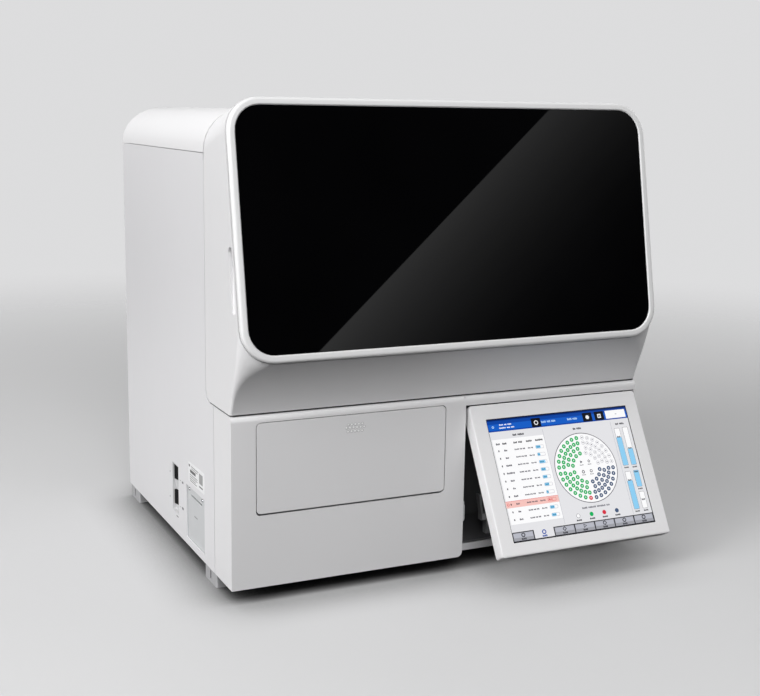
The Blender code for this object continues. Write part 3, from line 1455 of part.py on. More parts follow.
def make_hub(name, x, depth, flange_r, disc_h, knob_r, knob_h):
    """Turned hub: knob above the disc, boss through it, flange below and stem through the deck."""
    base = DECK_LOW
    flange_low = DECK_Z + DRIVE_LIFT - base
    flange_top = flange_low + FLANGE_T
    boss_top = flange_top + PLAY + disc_h + PLAY
    r = knob_r * 0.35
    profile = [(0, boss_top + knob_h), (knob_r - r, boss_top + knob_h), (knob_r, boss_top + knob_h - r),
               (knob_r, boss_top), (HUB_R, boss_top), (HUB_R, flange_top), (flange_r, flange_top),
               (flange_r, flange_low), (STEM_R, flange_low), (STEM_R, 0), (0, 0)]
    hub = turned(name, profile, at(x, depth, base), 16)
    return paint(hub, STEEL)


def disc_base():
    return DECK_Z + DRIVE_LIFT + FLANGE_T + PLAY


def tube_places():
    places = []
    span = math.tau / SECTORS - 2 * SECTOR_MARGIN
    for row in range(TUBE_ROWS):
        radius = SAMPLE_R - TUBE_MARGIN - row * TUBE_ROW
        count = int(span * radius / TUBE_PITCH)
        for sector in range(SECTORS):
            start = math.tau / SECTORS * sector + SECTOR_MARGIN
            for i in range(count):
                angle = start + span * (i + 0.5) / count
                places.append((radius * math.cos(angle), radius * math.sin(angle)))
    return places


def disc_profile(radius, height, bore, edge=0.002):
    return [(bore, height), (radius - edge, height), (radius, height - edge), (radius, 0), (bore, 0), (bore, height)]


def make_sample_carousel():
    """Disc with four sectors of blind tube wells."""
    place = at(SAMPLE_X, SAMPLE_Y, disc_base())
    disc = turned("sample_carousel", disc_profile(SAMPLE_R, SAMPLE_H, HUB_R + PLAY), place, 48)
    wells = merged_prisms("tube_wells", tube_places(), TUBE_R, SAMPLE_H - TUBE_DEPTH, SAMPLE_H + 0.01, TUBE_SIDES)
    wells.location = place
    cut(disc, wells)
    paint(disc, WHITE)
    hub = make_hub("sample_hub", SAMPLE_X, SAMPLE_Y, SAMPLE_FLANGE_R, SAMPLE_H, KNOB_R, KNOB_H)
    hang(pivot("sample_axis", place), disc, hub)


def wedge(inner, outer, angle, middle, gap=0.0):
    half = math.degrees(angle / 2)
    outer_cut = math.degrees(gap / outer)
    inner_cut = math.degrees(gap / inner)
    mid = math.degrees(middle)
    points = arc((0, 0), outer - gap, mid - half + outer_cut, mid + half - outer_cut, 4)
    points += arc((0, 0), inner + gap, mid + half - inner_cut, mid - half + inner_cut, 2)
    return points


def make_reagent_carousel():
    """Disc with wedge pockets, some of them holding a reagent pack."""
    place = at(REAGENT_X, REAGENT_Y, disc_base())
    disc = turned("reagent_carousel", disc_profile(REAGENT_R, REAGENT_H, HUB_R + PLAY), place, 40)
    pieces = [disc]
    for i in range(PACK_COUNT):
        middle = math.tau * i / PACK_COUNT
        outline = wedge(PACK_INNER, PACK_OUTER, PACK_ANGLE, middle)
        pocket = extruded("pack_pocket_%d" % i, [outline], "Z", POCKET_FLOOR, REAGENT_H + 0.01)
        pocket.location += place
        cut(disc, pocket)
        if i in PACK_SHOWN:
            body = wedge(PACK_INNER, PACK_OUTER, PACK_ANGLE, middle, PACK_FIT)
            name = "reagent_pack_%d" % (PACK_SHOWN.index(i) + 1)
            pack = extruded(name, [body], "Z", POCKET_FLOOR + PLAY, POCKET_FLOOR + PACK_H)
            pack.location += place
            for end, radius in (("inner", PACK_INNER + PACK_CAP_INSET), ("outer", PACK_OUTER - PACK_CAP_INSET)):
                spot = place + Vector((radius * math.cos(middle), radius * math.sin(middle), POCKET_FLOOR + PACK_H))
                low, high = spot - Vector((0, 0, PACK_CAP_H / 3)), spot + Vector((0, 0, PACK_CAP_H))
                join(pack, cylinder("%s_cap_%s" % (name, end), PACK_CAP_R, low, high, "Z", 12, CUTTERS))
            paint(pack, AMBER)
            pieces.append(pack)
    paint(disc, MID_GREY)
    hub = make_hub("reagent_hub", REAGENT_X, REAGENT_Y, REAGENT_FLANGE_R, REAGENT_H, KNOB_R, KNOB_H)
    hang(pivot("reagent_axis", place), hub, *pieces)


def make_incubator():
    """Heated ring of cuvette wells on its own stem, inside a fixed tray."""
    lift = DECK_Z + DRIVE_LIFT - DECK_LOW
    top = lift + INCUBATOR_H
    profile = [(0, top + KNOB_H * 0.4), (HUB_R, top + KNOB_H * 0.4), (HUB_R, top), (INCUBATOR_R - 0.001, top),
               (INCUBATOR_R, top - 0.001), (INCUBATOR_R, lift), (STEM_R, lift), (STEM_R, 0), (0, 0)]
    place = at(INCUBATOR_X, INCUBATOR_Y, DECK_LOW)
    rotor = turned("incubator_rotor", profile, place, 28)
    spots = []
    for i in range(CUVETTES):
        angle = math.tau * i / CUVETTES
        spots.append((CUVETTE_RING * math.cos(angle), CUVETTE_RING * math.sin(angle)))
    wells = merged_prisms("cuvette_wells", spots, CUVETTE_W / 2, lift + INCUBATOR_H * 0.3, top + 0.01, 6)
    wells.location = place
    cut(rotor, wells)
    paint(rotor, SATIN)
    hang(pivot("incubator_axis", place), rotor)
    inner = INCUBATOR_R + TRAY_GAP
    outer = inner + TRAY_WALL
    height = DRIVE_LIFT + INCUBATOR_H
    profile = [(inner, height), (outer, height), (outer, 0), (inner - 0.008, 0), (inner - 0.008, 0.002),
               (inner, 0.002), (inner, height)]
    tray = turned("incubator_tray", profile, at(INCUBATOR_X, INCUBATOR_Y, DECK_Z + PLAY), 28)
    paint(tray, LIGHT_GREY)


def make_motors():
    names = ("sample_motor", "reagent_motor", "incubator_motor")
    top = DECK_LOW - PLAY
    for name, (x, depth) in zip(names, drive_centres()):
        half = MOTOR_W / 2
        motor = box(name, at(x - half, depth - half, top - MOTOR_H), at(x + half, depth + half, top))
        round_edges(motor, lambda middle, along: abs(along.z) > 0.9, 0.004, 1)
        paint(motor, BLACK)


# Pipettor, wash station, detector and consumables

def make_pipettor():
    """Column, lifting mast, swinging arm and probe."""
    base = DECK_Z + PLAY
    r = COLUMN_R
    bore = MAST_R + MAST_PLAY
    profile = [(bore, COLUMN_H), (r - 0.003, COLUMN_H), (r, COLUMN_H - 0.003), (r, 0.008), (r + 0.008, 0.008),
               (r + 0.008, 0), (bore, 0), (bore, COLUMN_H)]
    column = turned("pipettor_column", profile, at(0, COLUMN_Y, base), 28)
    paint(column, WHITE)
    mast = cylinder("pipettor_mast", MAST_R, at(0, COLUMN_Y, base + PLAY), at(0, COLUMN_Y, base + MAST_TOP), "Z", 28)
    paint(mast, STEEL)
    low, high = base + MAST_TOP + PLAY, base + MAST_TOP + PLAY + ARM_H
    tip_y = COLUMN_Y - ARM_REACH
    outline = arc((0, COLUMN_Y), ARM_ROOT_R, 0, 180, 10) + arc((0, tip_y), ARM_TIP_R, 180, 360, 8)
    arm = extruded("pipettor_arm", [moved(outline, 0, FRONT_Y)], "Z", FOOT_H + low, FOOT_H + high, edge=0.0025)
    paint(arm, WHITE)
    tube = cylinder("pipettor_probe", PROBE_BOSS, at(0, tip_y, low - PLAY - 0.012), at(0, tip_y, low - PLAY), "Z", 16)
    join(tube, cylinder("probe_tube", PROBE_R, at(0, tip_y, low - PROBE_L), at(0, tip_y, low - 0.008), "Z", 10,
                        CUTTERS))
    paint(tube, STEEL)
    hang(pivot("pipettor_axis", at(0, COLUMN_Y, base)), mast, arm, tube)


def make_wash_well():
    """Cup in which the probe is rinsed, on the arm's circle between the carousels."""
    r, h = WELL_R, WELL_H
    profile = [(r * 0.5, h), (r, h), (r, h * 0.2), (r * 1.3, h * 0.12), (r * 1.3, 0), (0, 0)]
    profile = [(0, h * 0.35), (r * 0.5, h * 0.35)] + profile
    well = turned("wash_well", profile, at(0, COLUMN_Y - ARM_REACH, DECK_Z + PLAY), 20)
    return paint(well, WHITE)


def make_wash_station():
    """Bracket behind the incubator whose head carries nozzles over the cuvette ring."""
    base = DECK_Z + PLAY
    back = BACK_WALL_Y - PLAY
    ring = INCUBATOR_Y + CUVETTE_RING
    front = ring - WASH_ARM / 2
    column = INCUBATOR_Y + INCUBATOR_R + TRAY_GAP + TRAY_WALL + PLAY
    outline = [
        (column, base), (back, base), (back, base + WASH_H), (front, base + WASH_H),
        (front, base + WASH_H - WASH_ARM), (column, base + WASH_H - WASH_ARM),
    ]
    left, right = INCUBATOR_X - WASH_W / 2, INCUBATOR_X + WASH_W / 2
    station = extruded("wash_station", [moved(outline, FRONT_Y, FOOT_H)], "X", left, right)
    tip = DECK_Z + DRIVE_LIFT + INCUBATOR_H + 0.002
    for i in (-1, 0, 1):
        angle = math.pi / 2 - i * math.tau / CUVETTES
        x = INCUBATOR_X + CUVETTE_RING * math.cos(angle)
        y = INCUBATOR_Y + CUVETTE_RING * math.sin(angle)
        low, high = at(x, y, tip), at(x, y, base + WASH_H - WASH_ARM / 2)
        join(station, cylinder("nozzle_%d" % (i + 1), 0.0014, low, high, "Z", 8, CUTTERS))
    return paint(station, LIGHT_GREY)


def make_detector():
    """Light-tight detector housing beside the incubator."""
    r, h = DETECTOR_R, DETECTOR_H
    profile = [(0, h + 0.010), (r * 0.35, h + 0.010), (r * 0.35, h), (r - 0.003, h), (r, h - 0.003), (r, 0), (0, 0)]
    housing = turned("detector", profile, at(DETECTOR_X, INCUBATOR_Y, DECK_Z + PLAY), 24)
    bridge = box("detector_bridge", at(INCUBATOR_X + INCUBATOR_R + TRAY_GAP + TRAY_WALL + PLAY, INCUBATOR_Y - 0.012,
                                       DECK_Z + PLAY), at(DETECTOR_X, INCUBATOR_Y + 0.012, DECK_Z + 0.030), CUTTERS)
    join(housing, bridge)
    return paint(housing, BLACK)


def make_tip_rack():
    """Rack of blind seats for disposable tips."""
    base = DECK_Z + PLAY
    low = at(RACK_X - RACK_W / 2, RACK_Y - RACK_D / 2, base)
    high = at(RACK_X + RACK_W / 2, RACK_Y + RACK_D / 2, base + RACK_H)
    rack = box("tip_rack", low, high)
    round_edges(rack, lambda middle, along: abs(along.z) > 0.9, 0.004, 2)
    spots = []
    for col in range(RACK_COLS):
        for row in range(RACK_ROWS):
            spots.append((RACK_X + RACK_W * ((col + 0.5) / RACK_COLS - 0.5),
                          FRONT_Y + RACK_Y + RACK_D * ((row + 0.5) / RACK_ROWS - 0.5)))
    seats = merged_prisms("tip_seats", spots, RACK_HOLE, high.z - RACK_DEPTH, high.z + 0.01, 6)
    cut(rack, seats)
    return paint(rack, BLUE)


def make_bottles():
    names = ("buffer_bottle_front", "buffer_bottle_rear")
    r, h = BOTTLE_R, BOTTLE_H
    profile = [(0, h + CAP_H), (CAP_R - 0.001, h + CAP_H), (CAP_R, h + CAP_H - 0.001), (CAP_R, h), (r * 0.5, h),
               (r * 0.5, h - 0.004), (r * 0.85, h - 0.010), (r, h - 0.017), (r, 0.001), (r - 0.001, 0), (0, 0)]
    for name, depth in zip(names, BOTTLE_YS):
        bottle = turned(name, profile, at(BOTTLE_X, depth, DECK_Z + PLAY), 16)
        paint(bottle, WHITE)


# Left side service items

def make_switches():
    """Tub in the side panel with two rocker switches on its floor."""
    outer = -HALF_W + PLAY
    half_w, half_h = SWITCH_W / 2 - PLAY, SWITCH_H / 2 - PLAY
    floor = outer + SWITCH_D
    low = at(outer, SWITCH_Y - half_w, SWITCH_Z - half_h)
    high = at(floor + SWITCH_WALL, SWITCH_Y + half_w, SWITCH_Z + half_h)
    tub = open_box("switch_recess", low, high, SWITCH_WALL, OPEN_LEFT)
    names = ("main_switch", "cooling_switch")
    for name, z in zip(names, ROCKER_ZS):
        half = Vector((0, ROCKER_W / 2 + ROCKER_GAP, ROCKER_H / 2 + ROCKER_GAP))
        centre = at(floor, SWITCH_Y, z)
        body_low = centre - half - Vector((0, 0.0012, 0.0012))
        body_high = centre + half + Vector((0.013, 0.0012, 0.0012))
        join(tub, box(name + "_body", body_low, body_high, CUTTERS))
        hollow_low = centre - half - Vector((0.002, 0, 0))
        hollow_high = centre + half + Vector((0.0115, 0, 0))
        cut(tub, box(name + "_hollow", hollow_low, hollow_high, CUTTERS))
        make_rocker(name, centre + Vector((ROCKER_T * 0.55, 0, 0)))
    return paint(tub, MID_GREY)


def make_rocker(name, axis_place):
    """Two-sided rocker about an upright axis, resting with its front half pressed."""
    half, t = ROCKER_W / 2, ROCKER_T
    rise = half * math.tan(ROCKER_TILT)
    face = -t * 0.55
    outline = [(face - rise, -half), (face, 0), (face - rise, half), (t * 0.25, half * 0.8), (t * 0.25, -half * 0.8)]
    rocker = extruded(name, [outline], "Z", -ROCKER_H / 2, ROCKER_H / 2)
    rocker.location = (0, 0, 0)
    empty = pivot(name + "_axis", axis_place, (0, 0, ROCKER_TILT))
    rocker.parent = empty
    return paint(rocker, BLACK)


def make_filter_cover():
    """Cover of the air filter, behind the panel's opening, with a finger slot."""
    half_w, half_h = FILTER_W / 2 + FILTER_LAP, FILTER_H / 2 + FILTER_LAP
    outline = rect(FILTER_Y - half_w, FILTER_Z - half_h, FILTER_Y + half_w, FILTER_Z + half_h)
    slot = rounded_rect(FINGER_L / 2, FINGER_W / 2, FINGER_W / 2 - PLAY, 2, (FILTER_Y, FINGER_Z))
    outlines = [moved(line, FRONT_Y, FOOT_H) for line in (outline, slot)]
    front = -HALF_W + PANEL + PLAY
    cover = extruded("filter_cover", outlines, "X", front, front + SHEET)
    return paint(cover, LIGHT_GREY)


def build():
    make_base()
    make_feet()
    make_side_panel("side_panel_left", -1)
    make_side_panel("side_panel_right", 1)
    make_top_cover()
    make_rear_panel()
    make_ports()
    make_fan()
    make_inlet()
    make_fascia()
    make_door()
    make_latch()
    make_bin_bay()
    make_bin()
    make_screen_bay()
    make_display()
    make_stay()
    make_hinge_beam()
    make_hood()
    make_deck()
    make_side_frames()
    make_back_wall()
    make_sample_carousel()
    make_reagent_carousel()
    make_incubator()
    make_motors()
    make_pipettor()
    make_wash_well()
    make_wash_station()
    make_detector()
    make_tip_rack()
    make_bottles()
    make_switches()
    make_filter_cover()


build()
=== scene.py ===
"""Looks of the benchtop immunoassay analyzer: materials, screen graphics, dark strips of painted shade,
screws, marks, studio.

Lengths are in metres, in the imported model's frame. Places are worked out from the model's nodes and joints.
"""

import json
import math

import bmesh
import bpy
from mathutils import Matrix, Vector


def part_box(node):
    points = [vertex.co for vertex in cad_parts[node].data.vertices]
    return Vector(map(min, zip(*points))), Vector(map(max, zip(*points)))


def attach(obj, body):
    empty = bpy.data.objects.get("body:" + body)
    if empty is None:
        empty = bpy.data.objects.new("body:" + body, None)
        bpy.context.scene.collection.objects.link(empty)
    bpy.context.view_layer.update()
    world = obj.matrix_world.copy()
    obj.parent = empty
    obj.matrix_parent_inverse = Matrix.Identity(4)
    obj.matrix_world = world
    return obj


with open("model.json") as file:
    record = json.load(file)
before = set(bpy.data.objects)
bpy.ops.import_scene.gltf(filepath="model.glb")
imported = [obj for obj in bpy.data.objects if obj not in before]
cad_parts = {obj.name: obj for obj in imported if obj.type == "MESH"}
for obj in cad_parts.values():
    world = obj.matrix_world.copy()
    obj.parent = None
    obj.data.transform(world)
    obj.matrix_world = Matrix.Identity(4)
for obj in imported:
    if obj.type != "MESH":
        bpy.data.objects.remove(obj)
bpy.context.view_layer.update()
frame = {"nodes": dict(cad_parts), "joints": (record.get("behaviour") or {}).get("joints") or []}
NODES = frame["nodes"]
JOINTS = {joint["name"]: joint for joint in frame["joints"]}

# Planes of the model
FASCIA_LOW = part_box("front_fascia")[0]
FRONT = FASCIA_LOW.y
BASE = FASCIA_LOW.z
LEFT = FASCIA_LOW.x
PANEL_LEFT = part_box("side_panel_left")[0].x
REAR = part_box("rear_panel")[1].y

# Camera, from the photograph
IMAGE_W = 760
FOCAL_PX = 1261.64
SENSOR_MM = 36.0
YAW = 0.44309
PITCH = 0.18830
ROLL = 0.01601
CAMERA_PLACE = (-0.8402, -1.5400, 0.6458)

# Studio, with spans as start and end
FLOOR_SIZE = 8.0
FLOOR_FADE = (1.0, 3.4)
FLOOR_SHADE = 0.10
FLOOR_SHADE_SPAN = (0.12, 0.95)
LIGHT_SIZE = 2.6
LIGHT_TARGET = (0, 0, 0.33)
LIGHTS = (
    ("key", (-3.2, -1.5, 3.6), 54.0),
    ("side", (-4.6, -1.0, 2.1), 156.0),
    ("front", (-1.4, -4.1, 3.0), 110.0),
    ("right", (4.4, -0.4, 2.4), 26.0),
)
SKY_RISE = (0.0, 0.55)
SKY_STRENGTH = 0.37
FILL_TOWARD = (0.75, 0.66, 0.0)
FILL_SPAN = (0.0, 0.9)
FILL_TOP_FADE = (0.0, 0.45)
FILL_LOW_FADE = (-0.04, 0.02)
FILL_STRENGTH = 1.7
BACKDROP = 0.72

# Hood frame and glass
HOOD_TILT = math.radians(11.0)
RING_PLACE = (0.0, -0.0149, 0.4890)
RING_W = 0.6480
RING_H = 0.3443
RING_R = 0.0457
RING_BACK = 0.0065
SHELL_FRONT = 0.0083
HOOD_LOW = 0.2436
HOOD_REAR = 0.107
HOOD_STEP = 0.017
CHIN_FRONT = 0.0037
REFLECTION_TOP = (0.1476, 0.1495)
REFLECTION_LOW = (-0.2060, -0.1504)

# Lit card: bands across the reflection's edge as distance and level, brightest at the low end
CARD_DISTANCE = 2.4
CARD_OVERRUN = 0.40
CARD_SHARES = (0.0, 0.2, 0.4, 0.6, 0.8, 1.0)
CARD_LOW_LEVEL = 1.22
CARD_FALL = 0.85
CARD_STRENGTH = 1.7
CARD_BANDS = (
    (-0.60, 0.0), (-0.0005, 0.0), (0.0, 1.0), (0.03, 0.70), (0.06, 0.47), (0.09, 0.30), (0.12, 0.18),
    (0.16, 0.08), (0.20, 0.03), (0.26, 0.0), (0.70, 0.0),
)

# Dark strips in the hood's gaps, painted shade of the gaps
GROOVE_SHADE_OUTER = 0.0004
GROOVE_SHADE_INNER = 0.0050
GROOVE_SHADE_STEPS = 8
RIM_SHADE_INSET = 0.0006
RIM_SHADE_SETBACK = 0.0004
RIM_SHADE_CORNER = 0.0035
RIM_SHADE_W = 0.0022
RIM_SHADE_H = 0.0017

# Dots on the waste door: each row's height, first place across, and count
DOT_ROWS = ((0.2165, -0.1556, 5), (0.2120, -0.1583, 6), (0.2068, -0.1560, 5))
DOT_PITCH = 0.0053
DOT_SIDES = 12
DOT_R = 0.00160
DOT_RISE = 0.0004
DOT_SINK = 0.0002
DOT_RING_R = 0.0022
DOT_RING_SINK = 0.0001
DOT_RING_T = 0.00016

# Left side, seen from the left: u from the front, v from the body's floor
NAMEPLATE_LOW = (-0.1955, 0.1015)
NAMEPLATE_HIGH = (-0.1195, 0.1312)
NAMEPLATE_R = 0.0015
NAMEPLATE_T = 0.0003
PRINT_T = 0.0001
# Fields in place of print: u, v, width and height
NAMEPLATE_PRINT = (
    ("dark", 0.10, (
        (-0.1905, 0.1265, 0.0060, 0.0034), (-0.1735, 0.1192, 0.0270, 0.0044),
        (-0.1345, 0.1075, 0.0170, 0.0020),
    )),
    ("grey", 0.34, (
        (-0.1640, 0.1268, 0.0360, 0.0014), (-0.1655, 0.1236, 0.0300, 0.0014),
        (-0.1700, 0.1138, 0.0380, 0.0014), (-0.1700, 0.1106, 0.0380, 0.0014),
        (-0.1740, 0.1074, 0.0300, 0.0014), (-0.1715, 0.1044, 0.0340, 0.0014),
        (-0.1345, 0.1195, 0.0170, 0.0150),
    )),
)
SWITCH_MARKS = (
    (-0.2276, 0.0893, 0.0075, 0.0030), (-0.2279, 0.0487, 0.0075, 0.0040), (-0.2392, 0.0895, 0.0060, 0.0006),
    (-0.2400, 0.0477, 0.0060, 0.0006), (-0.2950, 0.0890, 0.0020, 0.0024), (-0.2965, 0.0487, 0.0020, 0.0024),
    (-0.2572, 0.0275, 0.0100, 0.0016),
)
SWITCH_MARK_T = 0.00012
FILTER_BORDER_OUTER = 0.0038
FILTER_BORDER_INNER = 0.0046
FILTER_BORDER_R = 0.003
FILTER_BORDER_STEPS = 3
FILTER_BORDER_RISE = 0.0006
FILTER_BORDER_SINK = 0.0001
FILTER_MARK = (-0.1690, 0.0520)

# Screws, with sizes as radius and height
FILTER_SCREWS = ((-0.1979, 0.0880), (-0.1345, 0.0880))
FILTER_SCREW_SIZE = (0.0030, 0.0016)
REAR_SCREW_X = 0.3110
REAR_SCREW_HEIGHTS = (0.020, 0.160, 0.300, 0.440, 0.575)
REAR_SCREW_SIZE = (0.0032, 0.0018)
FAN_SCREW_REACH = 0.0525
FAN_SCREW_SIZE = (0.0034, 0.0020)

# Lug on the bay's edge and pad on the display's stay
LUG_CLEARANCE = 0.0003
LUG_BACK = 0.0036
LUG_T = 0.0014
LUG_OUTLINE = (
    (0.0, 0.0535), (0.0028, 0.0535), (0.0038, 0.0560), (0.0038, 0.0770), (0.0028, 0.0790), (0.0028, 0.0825),
    (0.0020, 0.0840), (0.0, 0.0840),
)
STAY_POST_TOP = 0.030
STAY_PAD_IN = 0.0036
STAY_PAD_Z = 0.0404
STAY_PAD_T = 0.0012

# Feet
FOOT_PAD_T = 0.0009
SLOT_BACK = 0.0138
SLOT_SHADE_T = 0.0100

# Reagent packs: the label lies on the body, below the caps
PACK_CAP_H = 0.006
PACK_LABEL_REACH = 0.073
PACK_LABEL_T = 0.0002

# Display
DISPLAY_TILT = math.radians(29.5)
FACE_DEPTH = 0.0145
LIP = 0.0013
# Band left unlit round the graphics: the dark screen there is painted shade of the bezel's lip.
BORDER = 0.0013
LIT_W = 0.2447 - 2 * BORDER
LIT_H = 0.1812 - 2 * BORDER
LIT_LEFT = 0.0223 + BORDER
LIT_DROP = 0.0224 + BORDER
PIVOT_DROP = 0.0100
DISPLAY_W = 0.2882
GRID_W = 1024
GRID_H = 768
LAYER = 0.00006
SCREEN_TINT = 0.20
SCREEN_GLOW = 0.84

SMOOTH_ANGLE = math.radians(32)
MERGE_DISTANCE = 0.000001


# Materials


def mapped(nodes, links, value, start, end, low, high):
    """Map the span from start to end onto the span from low to high."""
    node = nodes.new("ShaderNodeMapRange")
    for socket, number in (("From Min", start), ("From Max", end), ("To Min", low), ("To Max", high)):
        node.inputs[socket].default_value = number
    links.new(value, node.inputs["Value"])
    return node.outputs["Result"]


def combined(nodes, links, operation, one, two):
    node = nodes.new("ShaderNodeMath")
    node.operation = operation
    links.new(one, node.inputs[0])
    links.new(two, node.inputs[1])
    return node.outputs["Value"]


class Surface:
    """A Principled material with its node tree, and helpers that wire procedural detail into it."""

    def __init__(self, name, color, roughness, metallic=0.0):
        self.mat = bpy.data.materials.new(name)
        self.mat.use_nodes = True
        self.nodes = self.mat.node_tree.nodes
        self.links = self.mat.node_tree.links
        self.shader = self.nodes["Principled BSDF"]
        self.color = color
        self.roughness = roughness
        self.set("Base Color", (*color, 1.0))
        self.set("Roughness", roughness)
        self.set("Metallic", metallic)
        self.mat.diffuse_color = (*color, 1.0)
        self.coords = None

    def set(self, socket, value):
        self.shader.inputs[socket].default_value = value
        return self

    def place(self, stretch=(1, 1, 1)):
        """Object coordinates, stretched where a finish has a direction."""
        coords = self.nodes.new("ShaderNodeTexCoord")
        mapping = self.nodes.new("ShaderNodeMapping")
        mapping.inputs["Scale"].default_value = stretch
        self.links.new(coords.outputs["Object"], mapping.inputs["Vector"])
        return mapping.outputs["Vector"]

    def noise(self, scale, detail=2.0, rough=0.5, stretch=(1, 1, 1)):
        node = self.nodes.new("ShaderNodeTexNoise")
        node.inputs["Scale"].default_value = scale
        node.inputs["Detail"].default_value = detail
        node.inputs["Roughness"].default_value = rough
        self.links.new(self.place(stretch), node.inputs["Vector"])
        return node.outputs["Fac"]

    def span(self, value, low, high, start=0.3, end=0.7):
        return mapped(self.nodes, self.links, value, start, end, low, high)

    def blotch(self, amount, scale=5.0):
        """A slow change of tone, as moulded or painted surfaces have."""
        mix = self.nodes.new("ShaderNodeMix")
        mix.data_type = "RGBA"
        self.links.new(self.span(self.noise(scale, 3.0), 0.0, 1.0), mix.inputs["Factor"])
        mix.inputs["A"].default_value = (*(c * (1 - amount) for c in self.color), 1.0)
        mix.inputs["B"].default_value = (*(min(1.0, c * (1 + amount)) for c in self.color), 1.0)
        self.links.new(mix.outputs["Result"], self.shader.inputs["Base Color"])
        return self

    def uneven(self, amount, scale=40.0, stretch=(1, 1, 1)):
        noise = self.noise(scale, 3.0, 0.6, stretch)
        value = self.span(noise, self.roughness - amount, self.roughness + amount)
        self.links.new(value, self.shader.inputs["Roughness"])
        return self

    def grain(self, scale, height, strength=0.5, stretch=(1, 1, 1), detail=2.0):
        bump = self.nodes.new("ShaderNodeBump")
        bump.inputs["Strength"].default_value = strength
        bump.inputs["Distance"].default_value = height
        self.links.new(self.noise(scale, detail, 0.55, stretch), bump.inputs["Height"])
        self.links.new(bump.outputs["Normal"], self.shader.inputs["Normal"])
        return self

    def coat(self, weight, roughness):
        self.set("Coat Weight", weight)
        self.set("Coat Roughness", roughness)
        return self

    def glow(self, color, strength):
        self.set("Emission Color", (*color, 1.0))
        self.set("Emission Strength", strength)
        return self


def moulded(name, color, roughness=0.42):
    """Fine spark-eroded texture of a moulded cover."""
    surface = Surface(name, color, roughness).blotch(0.010, 4.0).uneven(0.035, 60.0)
    return surface.grain(2600.0, 0.00003, 0.35).mat


def powder_coat(name, color, roughness=0.38):
    """Painted sheet with a slight orange-peel surface."""
    surface = Surface(name, color, roughness).blotch(0.008, 3.0).uneven(0.03, 30.0)
    return surface.grain(900.0, 0.00004, 0.30).mat


def brushed(name, color, stretch, roughness=0.30):
    surface = Surface(name, color, roughness, 1.0).blotch(0.05, 9.0).uneven(0.08, 300.0, stretch)
    return surface.grain(900.0, 0.00002, 0.30, stretch).mat


def rubbery(name, color):
    return Surface(name, color, 0.62).blotch(0.08, 20.0).grain(1800.0, 0.00004, 0.4).mat


WHITE = (0.780, 0.775, 0.785)
PANEL_WHITE = (0.775, 0.769, 0.785)
MATERIALS = {
    "cover": moulded("cover_moulding", WHITE),
    "panel": powder_coat("panel_paint", PANEL_WHITE),
    "sheet": powder_coat("grey_sheet_paint", (0.56, 0.57, 0.58)),
    "ring": Surface("frame_satin", (0.79, 0.79, 0.795), 0.30).blotch(0.006).uneven(0.02, 50.0)
    .grain(1500.0, 0.000004, 0.1).coat(0.3, 0.2).mat,
    "glass": Surface("hood_glass_black", (0.0015, 0.0015, 0.0018), 0.012).uneven(0.005, 12.0)
    .blotch(0.2).set("IOR", 1.30).mat,
    "foot": moulded("foot_moulding", (0.42, 0.42, 0.43), 0.5),
    "liner": moulded("liner_moulding", (0.10, 0.10, 0.105), 0.55),
    "black": moulded("black_moulding", (0.012, 0.012, 0.013), 0.38),
    "rocker": Surface("rocker_moulding", (0.004, 0.004, 0.0045), 0.6).blotch(0.05).uneven(0.04)
    .set("Specular IOR Level", 0.10).mat,
    # Black rubber of the foot pads, also used as painted shade in the hood's gaps and the feet's slots.
    "rubber": rubbery("pad_rubber_and_painted_shade", (0.014, 0.014, 0.014)),
    "arm": moulded("stay_moulding", (0.40, 0.40, 0.405), 0.5),
    # Grey moulding of the bin and reagent carousel, also used as painted shade on the filter cover's border.
    "grey": moulded("grey_moulding_and_border_shade", (0.36, 0.37, 0.38), 0.45),
    "tub": moulded("tub_moulding", (0.62, 0.62, 0.63), 0.45),
    "filter": powder_coat("filter_cover_paint", (0.60, 0.61, 0.62)),
    "steel": brushed("brushed_steel", (0.56, 0.57, 0.58), (1, 1, 14)),
    "turned": brushed("turned_steel", (0.60, 0.61, 0.62), (1, 1, 30), 0.24),
    "aluminium": brushed("turned_aluminium", (0.66, 0.66, 0.67), (1, 1, 20), 0.34),
    "amber": Surface("amber_pack", (0.30, 0.10, 0.02), 0.22).blotch(0.08, 30.0).uneven(0.05)
    .coat(0.4, 0.1).mat,
    "blue": moulded("blue_moulding", (0.03, 0.13, 0.42), 0.42),
    "bottle": Surface("bottle_moulding", (0.66, 0.67, 0.66), 0.35).blotch(0.02, 20.0).uneven(0.05).mat,
    "screen": Surface("screen_glass", (0.02, 0.02, 0.025), 0.12).uneven(0.02).blotch(0.05).mat,
}

FINISH = {
    "cover": ["top_cover", "front_fascia", "waste_door", "hood_shell", "display_bezel", "display_back",
              "pipettor_column", "pipettor_arm", "sample_carousel", "wash_well"],
    "panel": ["side_panel_left", "side_panel_right", "rear_panel", "base_plate", "back_wall"],
    "sheet": ["bin_bay", "deck_plate"],
    "ring": ["hood_ring"],
    "glass": ["hood_glass"],
    "foot": ["foot_front_left", "foot_front_right", "foot_rear_left", "foot_rear_right", "incubator_tray",
             "wash_station"],
    "liner": ["screen_bay", "door_latch", "fluid_manifold"],
    "rocker": ["main_switch", "cooling_switch"],
    "arm": ["display_stop"],
    "black": ["power_inlet", "fan_frame", "fan_rotor", "detector",
              "sample_motor", "reagent_motor", "incubator_motor"],
    "grey": ["waste_bin", "reagent_carousel"],
    "tub": ["switch_recess"],
    "filter": ["filter_cover"],
    "steel": ["hinge_beam", "hood_hinge", "side_frame_left", "side_frame_right", "fan_guard"],
    "turned": ["sample_hub", "reagent_hub", "pipettor_mast", "pipettor_probe"],
    "aluminium": ["incubator_rotor"],
    "amber": ["reagent_pack_1", "reagent_pack_2", "reagent_pack_3"],
    "blue": ["tip_rack"],
    "bottle": ["buffer_bottle_front", "buffer_bottle_rear"],
    "screen": ["display_panel"],
}


